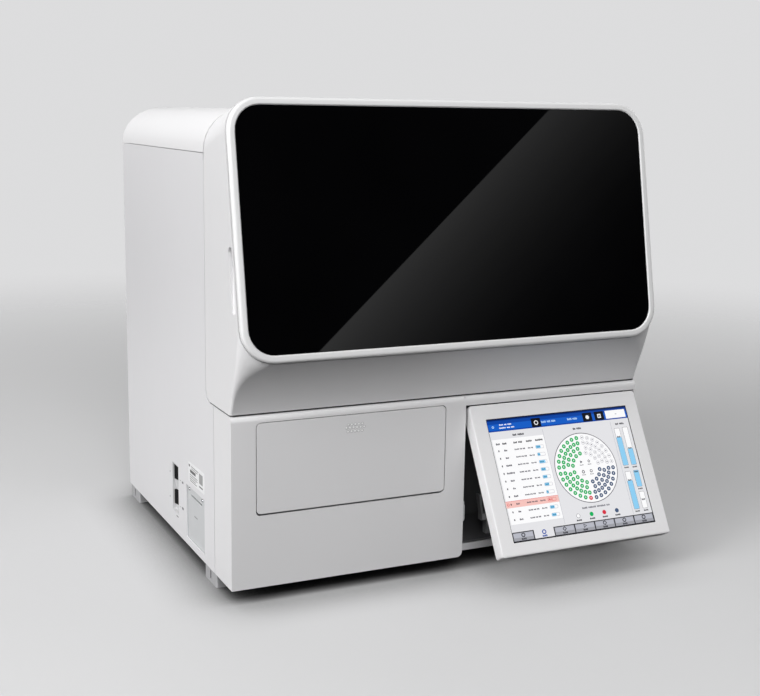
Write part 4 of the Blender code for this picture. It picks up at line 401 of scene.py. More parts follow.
def smooth(obj, limit=SMOOTH_ANGLE):
    """Average the shading normals of neighbouring faces that meet at a low angle."""
    mesh = obj.data
    normals = [poly.normal.copy() for poly in mesh.polygons]
    areas = [poly.area for poly in mesh.polygons]
    corners = {}
    for poly in mesh.polygons:
        for index in poly.loop_indices:
            place = mesh.vertices[mesh.loops[index].vertex_index].co
            key = (round(place.x, 5), round(place.y, 5), round(place.z, 5))
            corners.setdefault(key, []).append((index, poly.index))
    result = [Vector((0, 0, 1))] * len(mesh.loops)
    least = math.cos(limit)
    for meeting in corners.values():
        for index, face in meeting:
            total = Vector()
            for _, other in meeting:
                if normals[face].dot(normals[other]) > least:
                    total += normals[other] * areas[other]
            result[index] = total.normalized() if total.length > 0 else normals[face]
    mesh.polygons.foreach_set("use_smooth", [True] * len(mesh.polygons))
    mesh.normals_split_custom_set(result)


for finish, names in FINISH.items():
    for name in names:
        NODES[name].data.materials.clear()
        NODES[name].data.materials.append(MATERIALS[finish])
        smooth(NODES[name])
unfinished = set(NODES) - {name for names in FINISH.values() for name in names}
if unfinished:
    raise SystemExit("no finish for %s" % sorted(unfinished))


# Pieces


def piece(name, bm, material, body, smooth_shade=False):
    """A mesh piece that rides on a body."""
    bmesh.ops.remove_doubles(bm, verts=bm.verts, dist=MERGE_DISTANCE)
    mesh = bpy.data.meshes.new(name)
    bm.to_mesh(mesh)
    bm.free()
    mesh.materials.append(material)
    obj = bpy.data.objects.new(name, mesh)
    bpy.context.scene.collection.objects.link(obj)
    if smooth_shade:
        mesh.polygons.foreach_set("use_smooth", [True] * len(mesh.polygons))
        mesh.set_sharp_from_angle(angle=SMOOTH_ANGLE)
    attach(obj, body)
    return obj


def plate(bm, points, normal, thickness):
    """A thin plate from an outline, its face along the normal."""
    top = [bm.verts.new(point + normal * thickness) for point in points]
    low = [bm.verts.new(point) for point in points]
    bm.faces.new(top)
    bm.faces.new(list(reversed(low)))
    count = len(points)
    for i in range(count):
        j = (i + 1) % count
        bm.faces.new((top[j], top[i], low[i], low[j]))


def arc(centre, radius, start, end, steps):
    turn = [start + (end - start) * i / steps for i in range(steps + 1)]
    return [(centre[0] + radius * math.cos(a), centre[1] + radius * math.sin(a)) for a in turn]


def circle(centre, radius, sides):
    return arc(centre, radius, 0, math.tau * (1 - 1 / sides), sides - 1)


def rounded(half_w, half_h, radius, steps=4):
    """A rectangle with round corners, as 4 times steps + 1 points."""
    points = []
    for quarter, (su, sv) in enumerate(((1, 1), (-1, 1), (-1, -1), (1, -1))):
        corner = (su * (half_w - radius), sv * (half_h - radius))
        points += arc(corner, radius, quarter * math.pi / 2, (quarter + 1) * math.pi / 2, steps)
    return points


def bridge(bm, rows):
    """Quads between neighbouring closed rows of vertices."""
    for near, far in zip(rows, rows[1:]):
        for i in range(len(near)):
            j = (i + 1) % len(near)
            bm.faces.new((near[i], near[j], far[j], far[i]))


class Face:
    """A flat place on the object: u to the viewer's right, v up, n outwards."""

    def __init__(self, origin, u, v):
        self.origin = Vector(origin)
        self.u = Vector(u).normalized()
        self.v = Vector(v).normalized()
        self.n = self.u.cross(self.v)

    def point(self, u, v, lift=0.0):
        return self.origin + self.u * u + self.v * v + self.n * lift

    def outline(self, points, centre=(0.0, 0.0), lift=0.0):
        return [self.point(u + centre[0], v + centre[1], lift) for u, v in points]


LEFT_FACE = Face((PANEL_LEFT, FRONT, BASE), (0, -1, 0), (0, 0, 1))
FRONT_FACE = Face((0, FRONT, BASE), (1, 0, 0), (0, 0, 1))
REAR_FACE = Face((0, REAR, BASE), (-1, 0, 0), (0, 0, 1))


def screw_mesh(bm, face, centre, radius, height, sides=20):
    """Pan head with a hexagonal socket."""
    rings = (
        (radius, 0.0, False), (radius * 0.98, height * 0.45, False), (radius * 0.80, height * 0.85, False),
        (radius * 0.60, height, False), (radius * 0.44, height, True), (radius * 0.40, height * 0.35, True),
    )
    rows = []
    for ring_radius, lift, hexagon in rings:
        row = []
        for i in range(sides):
            angle = math.tau * i / sides
            reach = ring_radius
            if hexagon:
                part = (angle + math.pi / 6) % (math.pi / 3) - math.pi / 6
                reach = ring_radius * math.cos(math.pi / 6) / math.cos(part)
            row.append(bm.verts.new(face.point(
                centre[0] + reach * math.cos(angle), centre[1] + reach * math.sin(angle), lift)))
        rows.append(row)
    bridge(bm, rows)
    bm.faces.new(rows[-1])
    bm.faces.new(list(reversed(rows[0])))


# Display graphics, on a grid of picture points over the lit area

UI_COLORS = {
    "page": (0.76, 0.76, 0.785),
    "white": (0.95, 0.95, 0.96),
    "blue": (0.006, 0.060, 0.36),
    "bright_blue": (0.010, 0.110, 0.55),
    "deep_blue": (0.003, 0.022, 0.14),
    "pale_blue": (0.42, 0.62, 0.90),
    "dark": (0.008, 0.009, 0.014),
    "slate": (0.060, 0.100, 0.19),
    "green": (0.004, 0.42, 0.105),
    "red": (0.66, 0.030, 0.055),
    "pink": (0.90, 0.54, 0.50),
    "sky": (0.27, 0.61, 0.88),
    "teal": (0.03, 0.24, 0.42),
    "outline": (0.10, 0.095, 0.12),
    "line": (0.18, 0.18, 0.21),
    "pale_line": (0.44, 0.44, 0.50),
    "ink": (0.030, 0.030, 0.040),
    "tab": (0.34, 0.345, 0.38),
    "tab_light": (0.47, 0.48, 0.54),
}
pivot = Vector(JOINTS["display_tilt"]["pos_m"])
across = Vector((1, 0, 0))
up = Vector((0, math.sin(DISPLAY_TILT), math.cos(DISPLAY_TILT)))
out = across.cross(up)
lit_corner = pivot + out * (FACE_DEPTH - LIP) + up * (PIVOT_DROP - LIT_DROP)
lit_corner += across * (LIT_LEFT - DISPLAY_W / 2)
SCREEN = Face(lit_corner, across, up)
ui_meshes = {}


def ui_point(u, v):
    return u / GRID_W * LIT_W, -v / GRID_H * LIT_H


def ui_shape(color, outline, level):
    """A flat coloured shape: outline in picture points, level its layer over the screen."""
    bm = ui_meshes.setdefault(color, bmesh.new())
    points = [SCREEN.point(*ui_point(u, v), LAYER * level) for u, v in outline]
    face = bm.faces.new([bm.verts.new(point) for point in points])
    face.normal_update()
    if face.normal.dot(SCREEN.n) < 0:
        face.normal_flip()


def ui_rect(color, left, top, right, bottom, level, radius=0.0):
    half_w, half_h = (right - left) / 2, (bottom - top) / 2
    centre = ((left + right) / 2, (top + bottom) / 2)
    if radius:
        outline = [(u + centre[0], v + centre[1]) for u, v in rounded(half_w, half_h, radius, 3)]
    else:
        outline = [(left, top), (right, top), (right, bottom), (left, bottom)]
    ui_shape(color, outline, level)


def ui_disc(color, u, v, radius, level, sides=16):
    ui_shape(color, circle((u, v), radius, sides), level)


def ui_line(color, u, v, width, level, height=7.0):
    """A short dash in place of a word."""
    ui_rect(color, u - width / 2, v - height / 2, u + width / 2, v + height / 2, level, height * 0.3)


def ui_words(color, u, v, widths, level, height=10.0, gap=7.0):
    """Words shown as rows of small blocks, with nothing to read."""
    left = u - (sum(widths) + gap * (len(widths) - 1)) / 2
    for word, width in enumerate(widths):
        count = max(1, round(width / 9))
        step = width / count
        for i in range(count):
            tall = height * (1.0, 0.78, 0.92)[(i + word) % 3]
            low = v - tall / 2 + (height - tall) * (0.5 if i % 2 else 0.0)
            ui_rect(color, left + i * step + 0.9, low, left + (i + 1) * step - 0.9, low + tall, level)
        left += width + gap


def draw_header():
    ui_rect("deep_blue", 0, 0, GRID_W, 78, 2)
    ui_rect("blue", 0, 9, GRID_W, 78, 3)
    ui_rect("bright_blue", 0, 30, GRID_W, 70, 4)
    ui_disc("pale_blue", 34, 48, 9, 5, 6)
    ui_disc("bright_blue", 34, 48, 4, 6, 6)
    ui_words("white", 124, 37, (28, 17, 28), 5, 8)
    ui_words("white", 130, 57, (46, 22, 24), 5, 8)
    for left, right in ((309, 377), (688, 758), (778, 848)):
        ui_rect("dark", left, 16, right, 74, 5, 3)
    ui_disc("white", 343, 46, 15, 6)
    ui_disc("dark", 343, 46, 10, 7)
    ui_disc("white", 723, 46, 14, 6, 6)
    ui_rect("white", 800, 33, 826, 59, 6, 3)
    ui_rect("dark", 805, 38, 811, 54, 7)
    ui_rect("dark", 815, 38, 821, 54, 7)
    ui_words("pale_blue", 432, 46, (34, 26, 30), 5, 13)
    ui_words("pale_blue", 608, 46, (34, 34), 5, 13)
    ui_rect("white", 862, 17, 1012, 70, 5, 2)
    ui_line("pale_line", 940, 44, 14, 6, 5)


ROW_FILLS = (0.62, 0.35, 0.80, 0.62, 0.58, 0.60, 0.28, 0.0, 0.58, 0.60)
ROW_NAMES = ((22,), (24,), (40,), (56,), (28,), (18,), (30,), (24,), (20,), (26,))


def draw_table():
    """Ten rows of blocks, each with a small level bar, one row marked in pink."""
    ui_rect("white", 8, 128, 374, 662, 2)
    ui_words("ink", 198, 108, (28, 46), 3, 13)
    for u, widths in ((42, (27,)), (88, (30,)), (182, (27, 28)), (262, (42,)), (334, (54,))):
        ui_words("ink", u, 157, widths, 3, 12)
    first, pitch = 201, 48.2
    for row, (fill, names) in enumerate(zip(ROW_FILLS, ROW_NAMES)):
        v = first + pitch * row
        marked = fill == 0.0
        if marked:
            ui_rect("red", 2, v - 21, 376, v - 19, 4)
            ui_rect("pink", 2, v - 20, 376, v + 21, 3)
            ui_disc("red", 18, v, 9, 4, 10)
            ui_disc("pink", 18, v, 6.5, 5, 10)
        ui_words("ink", 38, v, (9,), 6, 11)
        ui_words("outline", 86, v, names, 4, 11)
        ui_words("outline", 186, v, (32, 18, 18), 4, 9, 4)
        ui_words("outline", 262, v, (17, 17), 4, 9, 3)
        ui_rect("red" if marked else "pale_line", 299, v - 11, 357, v + 11, 4, 6)
        ui_rect("pink" if marked else "white", 301, v - 9, 355, v + 9, 5, 5)
        if marked:
            ui_words("red", 318, v, (12, 12), 6, 9, 3)
        else:
            ui_rect("sky", 301, v - 9, 301 + 54 * fill, v + 9, 6, 5)
            ui_words("teal", 305 + 14 * min(1.0, fill * 1.5), v, (27 * min(1.0, fill * 1.5),), 7, 10)


RING_RADII = (196.0, 162.0, 129.0, 96.0)
RING_COUNTS = (8, 8, 5, 4)
RING_STARTS = (6.0, 7.2, 13.6, 12.8)
WHEEL = (625.0, 369.0)


def draw_wheel():
    """The rack map: a ring with four sectors of places, shown as plain discs."""
    ui_disc("outline", *WHEEL, 227, 3, 96)
    ui_disc("white", *WHEEL, 222.5, 4, 96)
    sectors = ("slate", "white", "green", "green")
    for quarter, color in enumerate(sectors):
        base = (quarter * 90 + 270) % 360
        for ring, (radius, count, start) in enumerate(zip(RING_RADII, RING_COUNTS, RING_STARTS)):
            step = (90 - 2 * start) / (count - 1)
            for i in range(count):
                angle = math.radians(base + start + step * i)
                u = WHEEL[0] + radius * math.cos(angle)
                v = WHEEL[1] - radius * math.sin(angle)
                tone = color
                if quarter == 3 and ring == 0 and i == count - 1:
                    tone = "red"
                if tone == "white":
                    ui_disc("pale_line", u, v, 13.0, 5, 14)
                    ui_disc("white", u, v, 10.6, 6, 14)
                    ui_words("line", u, v, (11,), 7, 6)
                else:
                    ui_disc(tone, u, v, 13.6, 5, 14)
                    ui_rect("white", u - 3.6, v - 4.2, u + 3.6, v + 4.2, 6, 2)
                    ui_rect(tone, u - 1.2, v - 1.6, u + 1.2, v + 1.6, 7)
    for sides, (su, sv) in zip((3, 4, 12, 6), ((-1, -1), (1, -1), (-1, 1), (1, 1))):
        u, v = WHEEL[0] + su * 29, WHEEL[1] + sv * 32 - 7
        ui_disc("outline", u, v, 11, 5, sides)
        if sides > 3:
            ui_disc("white", u, v, 6, 6, sides)
        ui_words("line", u, v + 20, (27,), 5, 6)
    ui_words("ink", 626, 112, (20, 34), 3, 13)
    ui_words("line", 625, 621, (38, 56, 64, 24), 3, 11)
    for u, color in ((483, "white"), (580, "green"), (674, "red"), (768, "slate")):
        ui_disc("line" if color == "white" else color, u, 664, 14, 3)
        if color == "white":
            ui_disc("white", u, 664, 11.5, 4)
        ui_words("ink", u, 692, (38,), 3, 10)


def draw_levels():
    """Columns on the right, filled to the level that is left."""
    ui_words("ink", 950, 111, (24, 34), 3, 12)
    columns = (
        (901, 939, 141, 386, 0.76), (964, 1001, 139, 388, 0.43), (900, 938, 429, 673, 0.76),
        (964, 1001, 428, 533, 1.0), (965, 1001, 568, 674, 0.0),
    )
    for left, right, top, bottom, level in columns:
        ui_rect("line", left - 2, top - 2, right + 2, bottom + 2, 3, 5)
        ui_rect("white", left, top, right, bottom, 4, 4)
        middle = (left + right) / 2
        if level:
            ui_rect("sky", left, bottom - (bottom - top) * level, right, bottom, 5, 4)
        mark = bottom - (bottom - top) * min(level, 0.9) if level else (top + bottom) / 2
        ui_words("ink", middle, mark - 3, (26,), 6, 10)
        ui_words("ink", middle, bottom + 15, (34,), 3, 9)
    ui_rect("pale_line", 375, 92, 377, 704, 3)
    ui_rect("pale_line", 882, 92, 884, 704, 3)


TAB_SIDES = (6, 16, 4, 3, 5, 6, 8)


def draw_tabs():
    width = GRID_W / 7
    ui_rect("dark", 0, 709, GRID_W, GRID_H, 2)
    for i, sides in enumerate(TAB_SIDES):
        left, right = width * i + 3.5, width * (i + 1) - 3.5
        middle = (left + right) / 2
        if i == 1:
            ui_rect("page", left, 703, right, GRID_H - 4, 3)
            ink, fill = "blue", "page"
        else:
            ui_rect("tab", left, 714, right, GRID_H - 5, 3)
            ui_rect("tab_light", left + 3, 718, right - 3, 744, 4)
            ink, fill = "ink", "tab_light"
        ui_disc(ink, middle, 730, 15, 5, sides)
        ui_disc(fill, middle, 730, 8.5, 6, sides)
        ui_words(ink, middle, 754, (34,), 5, 12)


def make_display_graphics():
    ui_rect("page", 0, 0, GRID_W, GRID_H, 1)
    draw_header()
    draw_table()
    draw_wheel()
    draw_levels()
    draw_tabs()
    for color, bm in sorted(ui_meshes.items()):
        tone = UI_COLORS[color]
        surface = Surface("screen_" + color, tuple(c * SCREEN_TINT for c in tone), 0.16)
        surface.blotch(0.01).uneven(0.02).set("Specular IOR Level", 0.18).glow(tone, SCREEN_GLOW)
        piece("screen_" + color, bm, surface.mat, "display")


# Dark strips of painted shade, marks, plates and fasteners


def hood_point(x, w, depth):
    """A point of the tilted hood frame: across, up along it, and back from its face."""
    sin, cos = math.sin(HOOD_TILT), math.cos(HOOD_TILT)
    centre = Vector(RING_PLACE) + Vector((0, FRONT, BASE))
    return centre + Vector((x, w * sin + depth * cos, w * cos - depth * sin))


def swept(bm, rows, closed):
    """Skin over rows of points, each row a closed section."""
    verts = [[bm.verts.new(point) for point in row] for row in rows]
    bridge(bm, verts + verts[:1] if closed else verts)
    if not closed:
        bm.faces.new(verts[0])
        bm.faces.new(verts[-1])
    bmesh.ops.recalc_face_normals(bm, faces=bm.faces)


def make_frame_groove_shade():
    """Dark strip in the groove between the hood's frame and its shell, painted shade of the groove."""
    rows = [[] for _ in range(4 * (GROOVE_SHADE_STEPS + 1))]
    for inset, depth in (
        (GROOVE_SHADE_OUTER, RING_BACK), (GROOVE_SHADE_OUTER, SHELL_FRONT),
        (GROOVE_SHADE_INNER, SHELL_FRONT), (GROOVE_SHADE_INNER, RING_BACK),
    ):
        outline = rounded(RING_W / 2 - inset, RING_H / 2 - inset, RING_R - inset, GROOVE_SHADE_STEPS)
        for row, (x, w) in zip(rows, outline):
            row.append(hood_point(x, w, depth))
    bm = bmesh.new()
    swept(bm, rows, True)
    piece("frame_groove_shade", bm, MATERIALS["rubber"], "hood", True)


def make_hood_rim_shade():
    """Dark strip under the hood's front and side rims, over the gap above the ledge, painted shade of the
    gap.
    """
    half = -LEFT - RIM_SHADE_INSET
    corner_x, corner_y = half - RIM_SHADE_CORNER, CHIN_FRONT + RIM_SHADE_SETBACK + RIM_SHADE_CORNER
    rear = HOOD_REAR - HOOD_STEP
    lines = []
    for reach in (0.0, RIM_SHADE_W):
        radius = RIM_SHADE_CORNER - reach
        line = [(-half + reach, rear)]
        line += arc((-corner_x, corner_y), radius, math.pi, 1.5 * math.pi, 4)
        line += arc((corner_x, corner_y), radius, 1.5 * math.pi, math.tau, 4)
        line.append((half - reach, rear))
        lines.append(line)
    rows = [
        [
            Vector((x, FRONT + y, BASE + HOOD_LOW - drop))
            for (x, y), drop in ((outer, 0.0), (inner, 0.0), (inner, RIM_SHADE_H), (outer, RIM_SHADE_H))
        ]
        for outer, inner in zip(*lines)
    ]
    bm = bmesh.new()
    swept(bm, rows, False)
    piece("hood_rim_shade", bm, MATERIALS["rubber"], "hood", True)


def dome(bm, face, centre, radius, rise, sides):
    """A low raised dot, let into the face a little."""
    rings = [(radius, -DOT_SINK)]
    rings += [(radius * share, rise * lift) for share, lift in ((0.90, 0.55), (0.60, 0.90), (0.25, 1.0))]
    rows = []
    for ring_radius, lift in rings:
        outline = face.outline(circle(centre, ring_radius, sides), lift=lift)
        rows.append([bm.verts.new(point) for point in outline])
    bridge(bm, rows)
    bm.faces.new(rows[-1])
    bm.faces.new(list(reversed(rows[0])))


def make_door_dots():
    """Three rows of raised dots near the top edge of the waste door, whiter than the door as painted
    highlight, each in a grey ring of painted shade.
    """
    dots, rings = bmesh.new(), bmesh.new()
    for v, first, count in DOT_ROWS:
        for i in range(count):
            place = (first + DOT_PITCH * i, v)
            dome(dots, FRONT_FACE, place, DOT_R, DOT_RISE, DOT_SIDES)
            outline = FRONT_FACE.outline(circle(place, DOT_RING_R, DOT_SIDES), lift=-DOT_RING_SINK)
            plate(rings, outline, FRONT_FACE.n, DOT_RING_T)
    # Dots whiter than the door: painted highlight on their domes.
    light = Surface("door_dot_highlight", (0.99, 0.99, 0.99), 0.30).blotch(0.02).grain(2600.0, 0.00002, 0.3)
    # Grey rings: painted shade around each dot.
    shade = Surface("door_dot_shade_rings", (0.50, 0.50, 0.51), 0.45).blotch(0.02).uneven(0.04)
    piece("door_grip_dots", dots, light.mat, "door", True)
    piece("door_dot_shade_rings", rings, shade.mat, "door")


def make_nameplate():
    """A white plate above the filter cover, with plain grey fields in place of print."""
    low, high = NAMEPLATE_LOW, NAMEPLATE_HIGH
    centre = ((low[0] + high[0]) / 2, (low[1] + high[1]) / 2)
    outline = rounded((high[0] - low[0]) / 2, (high[1] - low[1]) / 2, NAMEPLATE_R, 3)
    bm = bmesh.new()
    plate(bm, LEFT_FACE.outline(outline, centre), LEFT_FACE.n, NAMEPLATE_T)
    label = Surface("nameplate_foil", (0.88, 0.88, 0.89), 0.30).blotch(0.01, 20.0).uneven(0.03)
    piece("nameplate", bm, label.mat, "housing")
    for word, tone, fields in NAMEPLATE_PRINT:
        bm = bmesh.new()
        for u, v, width, height in fields:
            outline = rounded(width / 2, height / 2, 0.0004, 1)
            plate(bm, LEFT_FACE.outline(outline, (u, v), NAMEPLATE_T), LEFT_FACE.n, PRINT_T)
        ink = Surface("nameplate_print_" + word, (tone, tone, tone), 0.5).blotch(0.05).uneven(0.04)
        piece("nameplate_print_" + word, bm, ink.mat, "housing")


def make_filter_trim():
    """Thin raised border on the filter cover, dark grey as painted shade lines along its edges, with a
    printed dash.
    """
    low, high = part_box("filter_cover")
    face = Face((low.x, FRONT, BASE), (0, -1, 0), (0, 0, 1))
    centre = (FRONT - (low.y + high.y) / 2, (low.z + high.z) / 2 - BASE)
    half = ((high.y - low.y) / 2, (high.z - low.z) / 2)
    outer, inner = FILTER_BORDER_OUTER, FILTER_BORDER_INNER
    rise, sink = FILTER_BORDER_RISE, -FILTER_BORDER_SINK
    rows = [[] for _ in range(4 * (FILTER_BORDER_STEPS + 1))]
    for inset, lift in ((outer, sink), (outer, rise), (inner, rise), (inner, sink)):
        outline = rounded(half[0] - inset, half[1] - inset, FILTER_BORDER_R, FILTER_BORDER_STEPS)
        for row, (u, v) in zip(rows, outline):
            row.append(face.point(u + centre[0], v + centre[1], lift))
    bm = bmesh.new()
    swept(bm, rows, True)
    # Dark grey border, painted shade lines.
    piece("filter_border_shade", bm, MATERIALS["grey"], "housing")
    bm = bmesh.new()
    plate(bm, face.outline(rounded(0.0075, 0.0007, 0.0003, 1), FILTER_MARK), face.n, PRINT_T)
    ink = Surface("filter_print", (0.25, 0.25, 0.26), 0.5).blotch(0.05).uneven(0.04)
    piece("filter_mark", bm, ink.mat, "housing")


def make_switch_marks():
    """Short printed dashes beside the rockers."""
    bm = bmesh.new()
    for u, v, width, height in SWITCH_MARKS:
        outline = rounded(width / 2, height / 2, min(width, height) * 0.2, 1)
        plate(bm, LEFT_FACE.outline(outline, (u, v)), LEFT_FACE.n, SWITCH_MARK_T)
    ink = Surface("printed_grey", (0.16, 0.16, 0.17), 0.5).blotch(0.05)
    piece("switch_marks", bm, ink.mat, "housing")


def make_screws():
    """Fasteners of the filter cover, the rear panel and the fan."""
    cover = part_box("filter_cover")
    face = Face((cover[0].x, FRONT, BASE), (0, -1, 0), (0, 0, 1))
    bm = bmesh.new()
    for place in FILTER_SCREWS:
        screw_mesh(bm, face, place, *FILTER_SCREW_SIZE)
    piece("filter_screws", bm, MATERIALS["turned"], "housing", True)
    bm = bmesh.new()
    for z in REAR_SCREW_HEIGHTS:
        for side in (-1, 1):
            screw_mesh(bm, REAR_FACE, (side * REAR_SCREW_X, z), *REAR_SCREW_SIZE)
    fan_low, fan_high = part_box("fan_frame")
    fan_x, fan_z = -(fan_low.x + fan_high.x) / 2, (fan_low.z + fan_high.z) / 2 - BASE
    for su in (-1, 1):
        for sv in (-1, 1):
            place = (fan_x + su * FAN_SCREW_REACH, fan_z + sv * FAN_SCREW_REACH)
            screw_mesh(bm, REAR_FACE, place, *FAN_SCREW_SIZE)
    piece("rear_screws", bm, MATERIALS["turned"], "housing", True)


def make_bay_lug():
    """Light lug on the edge of the display bay, and the light pad on the display's stay."""
    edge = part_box("screen_bay")[0].x - LUG_CLEARANCE
    face = Face((edge, FRONT + LUG_BACK, BASE), (1, 0, 0), (0, 0, 1))
    bm = bmesh.new()
    plate(bm, face.outline(LUG_OUTLINE), face.n, LUG_T)
    piece("bay_edge_lug", bm, MATERIALS["filter"], "housing")
    stay_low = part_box("display_stop")[0]
    face = Face((0, stay_low.y, BASE), (1, 0, 0), (0, 0, 1))
    verts = [vert.co for vert in NODES["display_stop"].data.vertices]
    post_left = min(vert.x for vert in verts if vert.z < BASE + STAY_POST_TOP)
    outline = rounded(0.0034, 0.0048, 0.0008, 3)
    bm = bmesh.new()
    plate(bm, face.outline(outline, (post_left - STAY_PAD_IN, STAY_PAD_Z)), face.n, STAY_PAD_T)
    pad = Surface("stay_pad", (0.86, 0.86, 0.87), 0.5).blotch(0.02).grain(1800.0, 0.00003, 0.3)
    piece("stay_pad", bm, pad.mat, "housing", True)


def make_foot_pads():
    """Thin rubber pads let into the feet's undersides, and dark sheets deep in the feet's slots as painted
    shade.
    """
    for name in ("foot_front_left", "foot_front_right", "foot_rear_left", "foot_rear_right"):
        low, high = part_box(name)
        centre = (low + high) / 2
        face = Face((centre.x, centre.y, 0.0), (1, 0, 0), (0, 1, 0))
        bm = bmesh.new()
        plate(bm, face.outline(rounded(0.017, 0.019, 0.004, 4)), face.n, FOOT_PAD_T)
        piece("pad_" + name, bm, MATERIALS["rubber"], "housing")
        side = -1 if centre.x < 0 else 1
        outer = low.x if side < 0 else high.x
        # Dark sheet deep in each slot, painted shade of the slot's hollow.
        face = Face((outer - side * SLOT_BACK, centre.y, centre.z), (0, side, 0), (0, 0, 1))
        bm = bmesh.new()
        plate(bm, face.outline(rounded(0.00345, 0.0059, 0.0004, 1)), face.n, SLOT_SHADE_T)
        piece("slot_shade_" + name, bm, MATERIALS["rubber"], "housing")


def make_pack_labels():
    """Plain coloured fields on the reagent packs."""
    axis = Vector(JOINTS["reagent_spin"]["pos_m"])
    tones = ((0.10, 0.42, 0.20), (0.75, 0.76, 0.78), (0.72, 0.40, 0.05))
    for i, tone in enumerate(tones, start=1):
        low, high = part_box("reagent_pack_%d" % i)
        centre = (low + high) / 2
        angle = math.atan2(centre.y - axis.y, centre.x - axis.x)
        radial = Vector((math.cos(angle), math.sin(angle), 0))
        top = max(vert.co.z for vert in NODES["reagent_pack_%d" % i].data.vertices) - PACK_CAP_H
        face = Face((axis.x, axis.y, top), radial, Vector((0, 0, 1)).cross(radial))
        outline = rounded(0.0055, 0.010, 0.001, 2)
        bm = bmesh.new()
        plate(bm, face.outline(outline, (PACK_LABEL_REACH, 0.0)), face.n, PACK_LABEL_T)
        label = Surface("pack_label_%d" % i, tone, 0.4).blotch(0.03, 40.0).uneven(0.03)
        piece("pack_label_%d" % i, bm, label.mat, "reagent_rotor")


make_display_graphics()
make_frame_groove_shade()
make_hood_rim_shade()
make_door_dots()
make_nameplate()
make_filter_trim()
make_switch_marks()
make_screws()
make_bay_lug()
make_foot_pads()
make_pack_labels()


# Studio


def camera_axes():
    """The camera's right, up and view directions from its yaw, pitch and roll."""
    right = Vector((math.cos(YAW), -math.sin(YAW), 0))
    ahead = Vector((math.sin(YAW), math.cos(YAW), 0))
    view = ahead * math.cos(PITCH) - Vector((0, 0, math.sin(PITCH)))
    level_up = Vector((0, 0, math.cos(PITCH))) + ahead * math.sin(PITCH)
    rolled_right = right * math.cos(ROLL) + level_up * math.sin(ROLL)
    rolled_up = level_up * math.cos(ROLL) - right * math.sin(ROLL)
    return rolled_right, rolled_up, view


def make_camera():
    right, upward, view = camera_axes()
    camera = bpy.data.objects.new("camera", bpy.data.cameras.new("camera"))
    bpy.context.scene.collection.objects.link(camera)
    camera.data.sensor_width = SENSOR_MM
    camera.data.lens = SENSOR_MM * FOCAL_PX / IMAGE_W
    camera.data.clip_start = 0.05
    camera.data.clip_end = 100.0
    rotation = Matrix((right, upward, -view)).transposed().to_4x4()
    place = Vector(CAMERA_PLACE) + Vector((0, FRONT, BASE))
    camera.matrix_world = Matrix.Translation(place) @ rotation
    bpy.context.scene.camera = camera
    return place


def make_floor():
    """Pale paper with painted shadow where the machine is close, from ambient occlusion, that fades into the
    backdrop away from it.
    """
    bm = bmesh.new()
    bmesh.ops.create_grid(bm, x_segments=1, y_segments=1, size=FLOOR_SIZE / 2)
    mesh = bpy.data.meshes.new("floor")
    bm.to_mesh(mesh)
    bm.free()
    floor = bpy.data.objects.new("floor", mesh)
    bpy.context.scene.collection.objects.link(floor)
    paper = Surface("floor_paper", (0.62, 0.62, 0.625), 0.75).blotch(0.008, 0.8).uneven(0.05, 2.0)
    nodes, links = paper.nodes, paper.links
    # Painted shadow: ambient occlusion darkens the paper's colour near the machine.
    shade = nodes.new("ShaderNodeAmbientOcclusion")
    shade.inputs["Distance"].default_value = FLOOR_SHADE
    shade.samples = 8
    deepened = paper.span(shade.outputs["AO"], 0.0, 1.0, *FLOOR_SHADE_SPAN)
    darker = nodes.new("ShaderNodeMix")
    darker.data_type = "RGBA"
    darker.blend_type = "MULTIPLY"
    darker.inputs["Factor"].default_value = 1.0
    links.new(paper.shader.inputs["Base Color"].links[0].from_socket, darker.inputs["A"])
    links.new(deepened, darker.inputs["B"])
    links.new(darker.outputs["Result"], paper.shader.inputs["Base Color"])
    length = nodes.new("ShaderNodeVectorMath")
    length.operation = "LENGTH"
    links.new(paper.place(), length.inputs[0])
    fade = nodes.new("ShaderNodeMapRange")
    fade.interpolation_type = "SMOOTHSTEP"
    fade.inputs["From Min"].default_value, fade.inputs["From Max"].default_value = FLOOR_FADE
    links.new(length.outputs["Value"], fade.inputs["Value"])
    clear = nodes.new("ShaderNodeBsdfTransparent")
    mix = nodes.new("ShaderNodeMixShader")
    links.new(fade.outputs["Result"], mix.inputs["Fac"])
    links.new(paper.shader.outputs["BSDF"], mix.inputs[1])
    links.new(clear.outputs["BSDF"], mix.inputs[2])
    links.new(mix.outputs["Shader"], nodes["Material Output"].inputs["Surface"])
    mesh.materials.append(paper.mat)
    floor.visible_diffuse = False


def area_light(name, place, power):
    light = bpy.data.lights.new(name, "AREA")
    light.shape = "DISK"
    light.size = LIGHT_SIZE
    light.energy = power
    obj = bpy.data.objects.new(name, light)
    bpy.context.scene.collection.objects.link(obj)
    obj.visible_camera = False
    obj.location = place
    obj.rotation_euler = (Vector(LIGHT_TARGET) - Vector(place)).to_track_quat("-Z", "Y").to_euler()


